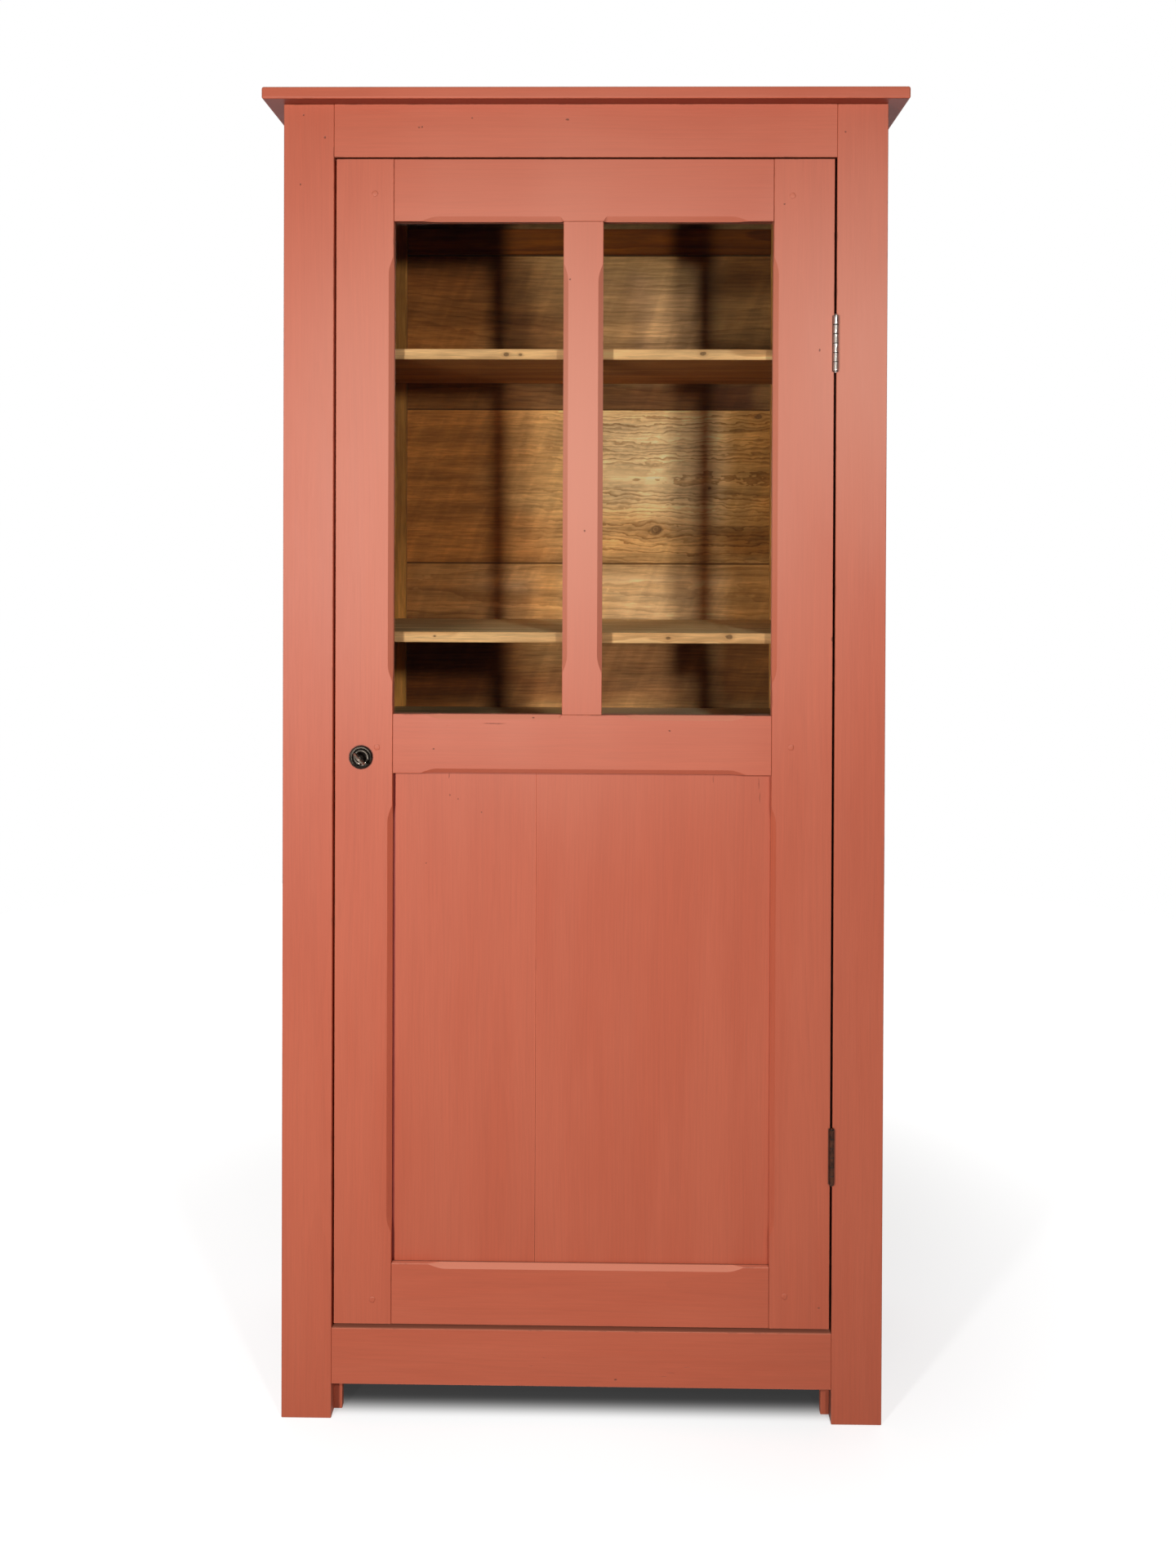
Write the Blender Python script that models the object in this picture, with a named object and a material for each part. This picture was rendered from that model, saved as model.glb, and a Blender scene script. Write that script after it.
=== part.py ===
"""Glazed cupboard: a framed and panelled pine carcass, one door with two panes above a flat panel,
loose pine shelves, butt hinges and a half-mortise lock with its key. Front faces -Y, feet at z = 0."""

import math

import bmesh
import bpy
from mathutils import Matrix, Vector

# Body of the cupboard, in metres
BODY_WIDTH = 0.850
BODY_HEIGHT = 1.861
BODY_DEPTH = 0.390
FOOT_HEIGHT = 0.0495

# Fits, edges and cutting
FIT_GAP = 0.0003
CUT_OVERRUN = 0.004
ARRIS = 0.0008
END_ARRIS = 0.0004
SHARP_ANGLE = math.radians(40)

# Cornice board
CORNICE_OVERHANG = 0.026
CORNICE_THICKNESS = 0.017
CORNICE_ROUNDING = 0.003

# Front frame
FRAME_THICKNESS = 0.024
FRAME_STILE_WIDTH = 0.071
FRAME_TOP_RAIL_HEIGHT = 0.0745
FRAME_BOTTOM_RAIL_HEIGHT = 0.0793
FRAME_TENON_LENGTH = 0.040

# Door stops behind the front stiles
STOP_PROUD = 0.0115
STOP_THICKNESS = 0.012

# Tenons, in the frames and in the door
TENON_THICKNESS = 0.008
TENON_BEFORE_LOCK = 0.0019
TENON_BESIDE_REBATE = 0.002

# Side frames
SIDE_THICKNESS = 0.022
SIDE_STILE_WIDTH = 0.070
SIDE_TOP_RAIL_HEIGHT = 0.075
SIDE_TENON_LENGTH = 0.030
SIDE_PANEL_THICKNESS = 0.008
SIDE_PANEL_RECESS = 0.007

# Back
BACK_THICKNESS = 0.020
BACK_STILE_WIDTH = 0.1007
BACK_BOARD_THICKNESS = 0.0114
BACK_REBATE = 0.012
BACK_TOP_BOARD_HEIGHT = 0.141
BACK_BOARD_HEIGHT = 0.256
BACK_UPPER_BOARDS = 3
BACK_LOWER_BOARDS = 3
BATTEN_DROP = 0.140
BATTEN_HEIGHT = 0.042

# Shelves and bottom board, let into the sides
SHELF_THICKNESS = 0.015
UPPER_SHELF_BELOW_TOP = 0.3395
MIDDLE_SHELF_ABOVE_LOWER = 0.1465
LOWER_SHELF_ABOVE_LOCK_RAIL_CENTRE = 0.0096
BASE_SHELF_ABOVE_FLOOR_BOARD = 0.4112
HOUSING_WALL = 0.002

# Panels in their grooves
GROOVE_REACH = 0.008
PANEL_PLAY = 0.0008

# Door
DOOR_SIDE_GAP = 0.0033
DOOR_TOP_GAP = 0.0025
DOOR_BOTTOM_GAP = 0.0066
LOCK_STILE_WIDTH = 0.0815
HINGE_STILE_WIDTH = 0.0850
DOOR_TOP_RAIL_HEIGHT = 0.0875
DOOR_BOTTOM_RAIL_HEIGHT = 0.0866
LOCK_RAIL_CENTRE = 0.9594
LOCK_RAIL_HEIGHT = 0.0838
MULLION_WIDTH = 0.0562
MULLION_TENON_LENGTH = 0.022
DOOR_TENON_LENGTH = 0.030
DOOR_PANEL_RECESS = 0.010
DOOR_PANEL_THICKNESS = 0.006
DOOR_PANEL_LEFT_SHOWING = 0.2032

# Stopped chamfers on the door, with where each stops short of the next member
CHAMFER = 0.007
RUNOUT = 0.024
RUNOUT_AT_MULLION = 0.006
RUNOUT_STEPS = 4
STILE_STOP_TOP = 0.050
STILE_STOP_LOCK_RAIL = 0.046
STILE_STOP_BOTTOM = 0.044
RAIL_STOP_LOCK_SIDE = 0.040
RAIL_STOP_HINGE_SIDE = 0.036
BOTTOM_RAIL_STOP_LOCK_SIDE = 0.053
LOCK_RAIL_STOP_LOCK_SIDE = 0.048
LOCK_RAIL_STOP_MULLION = 0.031
MULLION_STOP = 0.060

# Glazing
REBATE_WIDTH = 0.010
REBATE_DEPTH = 0.011
GLASS_THICKNESS = 0.002
BEAD_ROUNDING = 0.0035

# Butt hinges
HINGE_LENGTH = 0.078
UPPER_HINGE_DROP = 0.2587
LOWER_HINGE_RISE = 0.2453
KNUCKLES = 6
KNUCKLE_RADIUS = 0.0035
KNUCKLE_SIDES = 16
SCREW_HOLE_SIDES = 12
PIN_RADIUS = 0.0015
PIN_HEAD_RADIUS = 0.0023
PIN_TIP = 0.0025
PIN_DOME_SHARE = 0.7
LEAF_THICKNESS = 0.002
LEAF_WIDTH = 0.0194
LEAF_SCREW_INSET = 0.013
LEAF_SCREW_STAGGER = 0.004

# Countersunk screw holes: radius at the face, radius through the metal
HINGE_SCREW_HOLE = (0.0038, 0.0020)
SMALL_SCREW_HOLE = (0.0028, 0.0016)

# Lock and bolt
KEY_BACKSET = 0.037
KEY_BELOW_LOCK_RAIL_CENTRE = 0.0194
LOCK_PLATE_THICKNESS = 0.0012
LOCK_PLATE_LENGTH = 0.0555
LOCK_PLATE_BELOW = 0.030
LOCK_PLATE_ABOVE = 0.040
SELVEDGE_THICKNESS = 0.0016
LOCK_CASE_DEPTH = 0.0066
LOCK_CASE_WALL = 0.001
LOCK_CASE_BELOW = 0.016
LOCK_CASE_ABOVE = 0.024
LOCK_SCREW_INSET = 0.0045
BOLT_THROW = 0.009
BOLT_HEIGHT = 0.011
BOLT_PRONG = 0.0025
PRONG_HEIGHT = 0.0074
TALON_CLEARANCE = 0.0005
KEY_TURN = math.radians(180)
TURN_SAMPLES = 90

# Strike plate
STRIKE_THICKNESS = 0.0015
STRIKE_WIDTH = 0.0107
STRIKE_HEIGHT = 0.046
STRIKE_MORTISE = 0.012
STRIKE_SCREW_INSET = 0.0065

# Escutcheon
ESCUTCHEON_RADIUS = 0.0165
ESCUTCHEON_RIM = 0.0030
ESCUTCHEON_RIM_WIDTH = 0.0028
ESCUTCHEON_GROOVE_WIDTH = 0.0008
ESCUTCHEON_GROOVE = 0.0014
ESCUTCHEON_SHOULDER = 0.0024
ESCUTCHEON_DISH = 0.0013
ESCUTCHEON_DISH_RADIUS = 0.0085
KEYHOLE_PLAY = 0.0006
KEYHOLE_SLOT_PLAY = 0.001
KEYHOLE_SLOT_END = 0.0015

# Key
KEY_SHANK_RADIUS = 0.0025
KEY_TIP_INSET = 0.0004
KEY_COLLAR_RADIUS = 0.0042
KEY_COLLAR_START = 0.0036
KEY_COLLAR_LENGTH = 0.0022
KEY_NECK_LENGTH = 0.0030
KEY_BIT_REACH = 0.009
KEY_BIT_THICKNESS = 0.0024
KEY_BIT_INSET = 0.0002
KEY_REST_ANGLE = math.radians(45)
BOW_CENTRE = 0.0155
BOW_HALF_LENGTH = 0.0082
BOW_HALF_WIDTH = 0.0092
BOW_WIRE_RADIUS = 0.0018

# Places worked out from the sizes
FRONT_Y = CORNICE_OVERHANG - (BODY_DEPTH + CORNICE_OVERHANG) / 2
HALF_WIDTH = BODY_WIDTH / 2
FRAME_OPENING = (-HALF_WIDTH + FRAME_STILE_WIDTH, HALF_WIDTH - FRAME_STILE_WIDTH)
FRAME_OPENING_LOW = FOOT_HEIGHT + FRAME_BOTTOM_RAIL_HEIGHT
FRAME_OPENING_HIGH = BODY_HEIGHT - FRAME_TOP_RAIL_HEIGHT
SIDE_INNER = HALF_WIDTH - SIDE_THICKNESS
SHELF_FRONT = FRAME_THICKNESS + STOP_THICKNESS + 2 * FIT_GAP
SIDE_PANEL_INNER = HALF_WIDTH - SIDE_PANEL_RECESS - SIDE_PANEL_THICKNESS
HOUSING_END = SIDE_PANEL_INNER - HOUSING_WALL
SHELF_END = HOUSING_END - FIT_GAP
LOWER_SHELF_TOP = LOCK_RAIL_CENTRE + LOWER_SHELF_ABOVE_LOCK_RAIL_CENTRE
BOARD_TOPS = {
    "bottom_board": FRAME_OPENING_LOW,
    "shelf_base": FRAME_OPENING_LOW + BASE_SHELF_ABOVE_FLOOR_BOARD,
    "shelf_lower": LOWER_SHELF_TOP,
    "shelf_middle": LOWER_SHELF_TOP + MIDDLE_SHELF_ABOVE_LOWER,
    "shelf_upper": BODY_HEIGHT - UPPER_SHELF_BELOW_TOP,
}
BACK_FRONT = BODY_DEPTH - BACK_THICKNESS
BACK_BOARD_FRONT = BODY_DEPTH - BACK_BOARD_THICKNESS - FIT_GAP

DOOR_THICKNESS = FRAME_THICKNESS
DOOR = (FRAME_OPENING[0] + DOOR_SIDE_GAP, FRAME_OPENING[1] - DOOR_SIDE_GAP)
DOOR_LOW = FRAME_OPENING_LOW + DOOR_BOTTOM_GAP
DOOR_HIGH = FRAME_OPENING_HIGH - DOOR_TOP_GAP
SIGHT = (DOOR[0] + LOCK_STILE_WIDTH, DOOR[1] - HINGE_STILE_WIDTH)
PANEL_Z = (DOOR_LOW + DOOR_BOTTOM_RAIL_HEIGHT, LOCK_RAIL_CENTRE - LOCK_RAIL_HEIGHT / 2)
PANE_Z = (LOCK_RAIL_CENTRE + LOCK_RAIL_HEIGHT / 2, DOOR_HIGH - DOOR_TOP_RAIL_HEIGHT)
MULLION_CENTRE = (SIGHT[0] + SIGHT[1]) / 2
MULLION = (MULLION_CENTRE - MULLION_WIDTH / 2, MULLION_CENTRE + MULLION_WIDTH / 2)
PANES_X = {"left": (SIGHT[0], MULLION[0]), "right": (MULLION[1], SIGHT[1])}
REBATE_FRONT = DOOR_THICKNESS - REBATE_DEPTH

DOOR_PANEL_JOINT = SIGHT[0] + DOOR_PANEL_LEFT_SHOWING

HINGE_X = (DOOR[1] + FRAME_OPENING[1]) / 2
HINGE_DEPTH = FIT_GAP - KNUCKLE_RADIUS
HINGE_HEIGHTS = {"upper": DOOR_HIGH - UPPER_HINGE_DROP, "lower": DOOR_LOW + LOWER_HINGE_RISE}
KEY_X = DOOR[0] + KEY_BACKSET
KEY_HEIGHT = LOCK_RAIL_CENTRE - KEY_BELOW_LOCK_RAIL_CENTRE
LOCK_PLATE_FRONT = DOOR_THICKNESS - LOCK_PLATE_THICKNESS
LOCK_CASE_FRONT = LOCK_PLATE_FRONT - FIT_GAP - LOCK_CASE_DEPTH
BOLT_DEPTH = (LOCK_CASE_FRONT + LOCK_CASE_WALL + FIT_GAP, LOCK_PLATE_FRONT - 2 * FIT_GAP)
BOLT_Z = (KEY_HEIGHT + PRONG_HEIGHT, KEY_HEIGHT + PRONG_HEIGHT + BOLT_HEIGHT)
TENON_REAR = LOCK_CASE_FRONT - TENON_BEFORE_LOCK
TENON_LAYER = (TENON_REAR - TENON_THICKNESS, TENON_REAR)
TENON_SHOULDER = REBATE_WIDTH + TENON_BESIDE_REBATE


def clear_scene():
    for obj in list(bpy.data.objects):
        bpy.data.objects.remove(obj, do_unlink=True)


def finish(name, colour, roughness, metallic=0.0):
    """A plain material in one colour."""
    material = bpy.data.materials.new(name)
    material.use_nodes = True
    shader = material.node_tree.nodes["Principled BSDF"]
    shader.inputs["Base Color"].default_value = (*colour, 1.0)
    shader.inputs["Roughness"].default_value = roughness
    shader.inputs["Metallic"].default_value = metallic
    return material


def coral_paint():
    return finish("coral_paint", (0.58, 0.165, 0.10), 0.45)


def old_pine():
    return finish("old_pine", (0.33, 0.18, 0.075), 0.60)


def new_pine():
    return finish("new_pine", (0.62, 0.36, 0.16), 0.55)


def clear_glass():
    material = finish("clear_glass", (0.95, 0.97, 0.95), 0.04)
    material.node_tree.nodes["Principled BSDF"].inputs["Transmission Weight"].default_value = 1.0
    return material


def bright_steel():
    return finish("bright_steel", (0.62, 0.60, 0.57), 0.28, 1.0)


def dark_steel():
    return finish("dark_steel", (0.24, 0.21, 0.18), 0.42, 1.0)


def black_iron():
    return finish("black_iron", (0.05, 0.045, 0.04), 0.40, 0.9)


def mesh_object(name, mesh):
    """An object at the world origin, with its faces turned outward."""
    bmesh.ops.recalc_face_normals(mesh, faces=mesh.faces)
    data = bpy.data.meshes.new(name)
    mesh.to_mesh(data)
    mesh.free()
    obj = bpy.data.objects.new(name, data)
    bpy.context.scene.collection.objects.link(obj)
    return obj


def world(x, depth, z):
    """A point from its distance behind the front face of the frame."""
    return Vector((x, FRONT_Y + depth, z))


def grow(limits, by):
    """The same box with every face moved outward."""
    return tuple((low - by, high + by) for low, high in limits)


def mirrored(side, pair):
    """A pair of distances from the middle, on the left (-1) or the right (1)."""
    return tuple(sorted((side * pair[0], side * pair[1])))


def box(name, limits, edge=0.0, segments=1):
    """A box from its limits across, in depth and in height, with its edges eased."""
    low = world(*(pair[0] for pair in limits))
    high = world(*(pair[1] for pair in limits))
    mesh = bmesh.new()
    stretch = Matrix.Diagonal((*(high - low), 1.0))
    bmesh.ops.create_cube(mesh, size=1.0, matrix=Matrix.Translation((low + high) / 2) @ stretch)
    if edge:
        bmesh.ops.bevel(
            mesh, geom=mesh.edges[:], offset=edge, segments=segments, profile=0.5, affect="EDGES"
        )
    return mesh_object(name, mesh)


def loft(name, rings):
    """A solid through rings of points, closed at both ends."""
    mesh = bmesh.new()
    rows = [[mesh.verts.new(point) for point in ring] for ring in rings]
    for row, following in zip(rows, rows[1:]):
        for index in range(len(row)):
            after = (index + 1) % len(row)
            mesh.faces.new((row[index], row[after], following[after], following[index]))
    mesh.faces.new(rows[0])
    mesh.faces.new(rows[-1])
    return mesh_object(name, mesh)


def prism(name, outline, depth):
    """An outline in x and z, taken through a range of depth."""
    return loft(name, [[world(x, place, z) for x, z in outline] for place in depth])


def turned(name, profile, centre, outward, segments):
    """A solid turned about an axis, from radius and height pairs that start and end on it."""
    mesh = bmesh.new()
    turn = Vector((0, 0, 1)).rotation_difference(outward).to_matrix().to_4x4()
    place = Matrix.Translation(centre) @ turn
    rows = []
    for radius, height in profile:
        count = segments if radius else 1
        angles = [2 * math.pi * step / segments for step in range(count)]
        points = [Vector((radius * math.cos(a), radius * math.sin(a), height)) for a in angles]
        rows.append([mesh.verts.new(place @ point) for point in points])
    for row, following in zip(rows, rows[1:]):
        for index in range(segments):
            after = (index + 1) % segments
            corners = [row[index % len(row)], row[after % len(row)]]
            corners += [following[after % len(following)], following[index % len(following)]]
            mesh.faces.new(list(dict.fromkeys(corners)))
    obj = mesh_object(name, mesh)
    obj.data.shade_smooth()
    obj.data.set_sharp_from_angle(angle=SHARP_ANGLE)
    return obj


def rod(name, radius, centre, outward, length, segments):
    """A plain cylinder that starts at its centre point and runs outward."""
    profile = [(0, 0), (radius, 0), (radius, length), (0, length)]
    return turned(name, profile, centre, outward, segments)


def combine(obj, operation, tools):
    """Cuts the tools away from the object, or joins them to it, and removes them."""
    for tool in tools:
        modifier = obj.modifiers.new("joinery", "BOOLEAN")
        modifier.operation = operation
        modifier.solver = "EXACT"
        modifier.object = tool
    bpy.context.view_layer.update()
    graph = bpy.context.evaluated_depsgraph_get()
    shape = bpy.data.meshes.new_from_object(obj.evaluated_get(graph))
    obj.modifiers.clear()
    obj.data = shape
    for tool in tools:
        bpy.data.objects.remove(tool, do_unlink=True)
    return obj


def cut(obj, *tools):
    return combine(obj, "DIFFERENCE", tools)


def unite(obj, *tools):
    return combine(obj, "UNION", tools)


def seat(obj, body, material, origin=None):
    """Hangs a piece on the empty of its body, with its origin in its middle or where given."""
    corners = [vertex.co for vertex in obj.data.vertices]
    if origin is None:
        low = Vector([min(corner[axis] for corner in corners) for axis in range(3)])
        high = Vector([max(corner[axis] for corner in corners) for axis in range(3)])
        origin = (low + high) / 2
    obj.data.transform(Matrix.Translation(-origin))
    obj.location = origin - body.matrix_world.translation
    obj.parent = body
    obj.data.name = obj.name
    obj.data.materials.clear()
    obj.data.materials.append(material)
    return obj


def body_empty(name, place, parent=None):
    empty = bpy.data.objects.new(name, None)
    bpy.context.scene.collection.objects.link(empty)
    empty.location = place
    if parent:
        empty.parent = parent
        empty.location = place - parent.matrix_world.translation
    bpy.context.view_layer.update()
    return empty


def tenoned_rail(name, shoulders, depth, height, tenon_length):
    """A front rail between two stiles, with a tenon at each end."""
    body = (shoulders[0] + FIT_GAP, shoulders[1] - FIT_GAP)
    rail = box(name, (body, depth, height), END_ARRIS)
    return unite(rail, box("tenons", tenon_limits(shoulders, height, tenon_length)))


def tenon_limits(shoulders, height, tenon_length):
    """The bar that runs through a rail and stands out as its two tenons."""
    return (
        (shoulders[0] - tenon_length, shoulders[1] + tenon_length),
        TENON_LAYER,
        (height[0] + TENON_SHOULDER, height[1] - TENON_SHOULDER),
    )


def mortises(shoulders, height, tenon_length):
    """The hole that takes the tenons of one rail."""
    return box("mortise", grow(tenon_limits(shoulders, height, tenon_length), FIT_GAP))


FRAME_RAILS = {
    "front_bottom_rail": (FOOT_HEIGHT, FRAME_OPENING_LOW),
    "front_top_rail": (FRAME_OPENING_HIGH, BODY_HEIGHT),
}


def screw_hole(size, centre, outward, thickness):
    """A countersunk hole through metal of one thickness, from its face inward."""
    face_radius, through_radius = size
    slope = (face_radius - through_radius) / thickness
    over = FIT_GAP
    profile = [
        (0, -thickness - over),
        (through_radius - slope * over, -thickness - over),
        (face_radius + slope * over, over),
        (0, over),
    ]
    return turned("screw_hole", profile, centre, outward, SCREW_HOLE_SIDES)


def hinge_screw_places(hinge, side):
    """Three places down a leaf, on the door's side (-1) or the frame's side (1) of the gap."""
    face = HINGE_X + side * FIT_GAP
    middle = HINGE_DEPTH + KNUCKLE_RADIUS + FIT_GAP + LEAF_WIDTH / 2
    spacing = HINGE_LENGTH / 2 - LEAF_SCREW_INSET
    places = []
    for step in (-1, 0, 1):
        depth = middle + (LEAF_SCREW_STAGGER if step else -LEAF_SCREW_STAGGER)
        places.append(world(face, depth, HINGE_HEIGHTS[hinge] + step * spacing))
    return places


def leaf_limits(hinge, side):
    """The flat plate of one leaf."""
    inner = HINGE_X + side * FIT_GAP
    front = HINGE_DEPTH + KNUCKLE_RADIUS + FIT_GAP
    half = HINGE_LENGTH / 2
    return (
        tuple(sorted((inner, inner + side * LEAF_THICKNESS))),
        (front, front + LEAF_WIDTH),
        (HINGE_HEIGHTS[hinge] - half, HINGE_HEIGHTS[hinge] + half),
    )


def hinge_recess(hinge, side):
    """The shallow housing for a leaf, open to the front."""
    across, depth, height = grow(leaf_limits(hinge, side), FIT_GAP)
    return box("recess", (across, (-CUT_OVERRUN, depth[1]), height))


def hinge_recesses(side):
    return [hinge_recess(hinge, side) for hinge in HINGE_HEIGHTS]


def strike_limits():
    middle = (BOLT_Z[0] + BOLT_Z[1]) / 2
    return (
        (FRAME_OPENING[0] - STRIKE_THICKNESS, FRAME_OPENING[0]),
        (FRAME_THICKNESS - FIT_GAP - STRIKE_WIDTH, FRAME_THICKNESS - FIT_GAP),
        (middle - STRIKE_HEIGHT / 2, middle + STRIKE_HEIGHT / 2),
    )


def strike_screw_places():
    across, depth, height = strike_limits()
    return [world(across[1], sum(depth) / 2, z) for z in grow((height,), -STRIKE_SCREW_INSET)[0]]


def strike_cutters():
    """The housing of the strike plate and the mortise for the bolt."""
    across, depth, height = grow(strike_limits(), FIT_GAP)
    housing = box("housing", (across, (depth[0], FRAME_THICKNESS + CUT_OVERRUN), height))
    bolt_way = grow(((0, 0), BOLT_DEPTH, BOLT_Z), 2 * FIT_GAP)
    mortise_x = (across[0] - STRIKE_MORTISE, across[1])
    return [housing, box("bolt_mortise", (mortise_x, bolt_way[1], bolt_way[2]))]


def front_frame(body, paint):
    for name, height in FRAME_RAILS.items():
        rail = tenoned_rail(name, FRAME_OPENING, (0, FRAME_THICKNESS), height, FRAME_TENON_LENGTH)
        seat(rail, body, paint)
    for side, name in ((-1, "front_stile_left"), (1, "front_stile_right")):
        across = mirrored(side, (FRAME_OPENING[1], HALF_WIDTH))
        stile = box(name, (across, (0, FRAME_THICKNESS), (0, BODY_HEIGHT)), ARRIS)
        joints = [mortises(FRAME_OPENING, height, FRAME_TENON_LENGTH) for height in FRAME_RAILS.values()]
        fittings = strike_cutters() if side < 0 else hinge_recesses(side)
        seat(cut(stile, *joints, *fittings), body, paint)


def stop_limits(side):
    inner = FRAME_OPENING[1] - STOP_PROUD
    front = FRAME_THICKNESS + FIT_GAP
    across = mirrored(side, (inner, SIDE_INNER - FIT_GAP))
    return (across, (front, front + STOP_THICKNESS), (0, BODY_HEIGHT))


def door_stops(body, pine):
    for side, name in ((-1, "door_stop_left"), (1, "door_stop_right")):
        seat(box(name, stop_limits(side), END_ARRIS), body, pine)


def housings(side):
    """The shallow trenches across one side that carry the ends of the boards."""
    across = mirrored(side, (SIDE_INNER - CUT_OVERRUN, HOUSING_END))
    depth = (SHELF_FRONT - FIT_GAP, BACK_FRONT)
    trenches = []
    for top in BOARD_TOPS.values():
        trenches.append(box("housing", (across, depth, (top - SHELF_THICKNESS - FIT_GAP, top + FIT_GAP))))
    return trenches


def side_frame(body, paint, side, name):
    """Two stiles that stand on the floor, two rails between them and a flat panel in the grooves."""
    front = FRAME_THICKNESS + FIT_GAP
    stiles = {
        "front_stile": (front, front + SIDE_STILE_WIDTH),
        "rear_stile": (BODY_DEPTH - SIDE_STILE_WIDTH, BODY_DEPTH),
    }
    rails = {
        "bottom_rail": (FOOT_HEIGHT, FRAME_OPENING_LOW),
        "top_rail": (BODY_HEIGHT - SIDE_TOP_RAIL_HEIGHT, BODY_HEIGHT),
    }
    opening = (stiles["front_stile"][1], stiles["rear_stile"][0])
    opening_z = (rails["bottom_rail"][1], rails["top_rail"][0])
    across = mirrored(side, (SIDE_INNER, HALF_WIDTH))
    layer = mirrored(side, (SIDE_PANEL_INNER, HALF_WIDTH - SIDE_PANEL_RECESS))

    def tenons(height, by=0.0):
        reach = (opening[0] - SIDE_TENON_LENGTH, opening[1] + SIDE_TENON_LENGTH)
        inside = (height[0] + TENON_SHOULDER, height[1] - TENON_SHOULDER)
        return box("tenons", grow((layer, reach, inside), by))

    def groove():
        opened = (layer, grow((opening,), GROOVE_REACH)[0], grow((opening_z,), GROOVE_REACH)[0])
        return box("groove", (grow((layer,), FIT_GAP)[0], *opened[1:]))

    for part, depth in stiles.items():
        stile = box(f"side_{part}_{name}", (across, depth, (0, BODY_HEIGHT)), ARRIS)
        joints = [tenons(height, FIT_GAP) for height in rails.values()]
        seat(cut(stile, *joints, groove(), *housings(side)), body, paint)
    for part, height in rails.items():
        between = (opening[0] + FIT_GAP, opening[1] - FIT_GAP)
        rail = box(f"side_{part}_{name}", (across, between, height), END_ARRIS)
        seat(cut(unite(rail, tenons(height)), groove(), *housings(side)), body, paint)
    reach = GROOVE_REACH - PANEL_PLAY
    panel = (layer, grow((opening,), reach)[0], grow((opening_z,), reach)[0])
    seat(box(f"side_panel_{name}", panel, END_ARRIS), body, paint)


def back(body, pine):
    """Two wide stiles, horizontal boards let into them from behind and a batten across the front."""
    stile_inner = SIDE_INNER - FIT_GAP - BACK_STILE_WIDTH
    rebate_edge = stile_inner + BACK_REBATE
    height = (FOOT_HEIGHT, BODY_HEIGHT)
    for side, name in ((-1, "back_stile_left"), (1, "back_stile_right")):
        across = mirrored(side, (stile_inner, stile_inner + BACK_STILE_WIDTH))
        stile = box(name, (across, (BACK_FRONT, BODY_DEPTH), height), ARRIS)
        rebate_x = mirrored(side, (stile_inner - CUT_OVERRUN, rebate_edge))
        rebate_depth = (BACK_BOARD_FRONT - FIT_GAP, BODY_DEPTH + CUT_OVERRUN)
        rebate_z = (height[0] - CUT_OVERRUN, height[1] + CUT_OVERRUN)
        seat(cut(stile, box("rebate", (rebate_x, rebate_depth, rebate_z))), body, pine)
    low_edge = BODY_HEIGHT - BACK_TOP_BOARD_HEIGHT - BACK_UPPER_BOARDS * BACK_BOARD_HEIGHT
    lower_height = (low_edge - FOOT_HEIGHT) / BACK_LOWER_BOARDS
    heights = [BACK_TOP_BOARD_HEIGHT] + [BACK_BOARD_HEIGHT] * BACK_UPPER_BOARDS
    heights += [lower_height] * BACK_LOWER_BOARDS
    top = BODY_HEIGHT
    for number, board_height in enumerate(heights, 1):
        across = (FIT_GAP - rebate_edge, rebate_edge - FIT_GAP)
        depth = (BACK_BOARD_FRONT, BACK_BOARD_FRONT + BACK_BOARD_THICKNESS)
        board = box(f"back_board_{number}", (across, depth, (top - board_height + FIT_GAP, top)), ARRIS)
        seat(board, body, pine)
        top -= board_height
    across = (FIT_GAP - stile_inner, stile_inner - FIT_GAP)
    depth = (BACK_FRONT, BACK_BOARD_FRONT - FIT_GAP)
    low = BODY_HEIGHT - BATTEN_DROP
    seat(box("back_batten", (across, depth, (low, low + BATTEN_HEIGHT)), ARRIS), body, pine)


def cornice(body, paint):
    half = HALF_WIDTH + CORNICE_OVERHANG
    low = BODY_HEIGHT + FIT_GAP
    limits = ((-half, half), (-CORNICE_OVERHANG, BODY_DEPTH), (low, low + CORNICE_THICKNESS))
    seat(box("cornice_board", limits, CORNICE_ROUNDING, 3), body, paint)


def shelves(body, old, new):
    """Loose boards in their housings. The lowest one runs forward to the front rail."""
    across = (-SHELF_END, SHELF_END)
    for name, top in BOARD_TOPS.items():
        front = FRAME_THICKNESS + FIT_GAP if name == "bottom_board" else SHELF_FRONT
        limits = (across, (front, BACK_FRONT - FIT_GAP), (top - SHELF_THICKNESS, top))
        board = box(name, limits, END_ARRIS)
        if name == "bottom_board":
            cut(board, *(stop_notch(side, top) for side in (-1, 1)))
        seat(board, body, old if name == "bottom_board" else new)


def stop_notch(side, top):
    """Room in the lowest board for a door stop and the side stile."""
    inner = FRAME_OPENING[1] - STOP_PROUD - FIT_GAP
    across = mirrored(side, (inner, SHELF_END + CUT_OVERRUN))
    height = (top - SHELF_THICKNESS - CUT_OVERRUN, top + CUT_OVERRUN)
    return box("notch", (across, (FRAME_THICKNESS - CUT_OVERRUN, SHELF_FRONT), height))


def chamfer_at(place, runs):
    """Size of the chamfer at a place along an edge. A run is (start, end, run-in, run-out)."""
    size = ARRIS
    for start, end, run_in, run_out in runs:
        if start < place < end:
            rise = min((place - start) / run_in, (end - place) / run_out, 1.0)
            size = ARRIS + (CHAMFER - ARRIS) * math.sin(rise * math.pi / 2)
    return size


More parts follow.
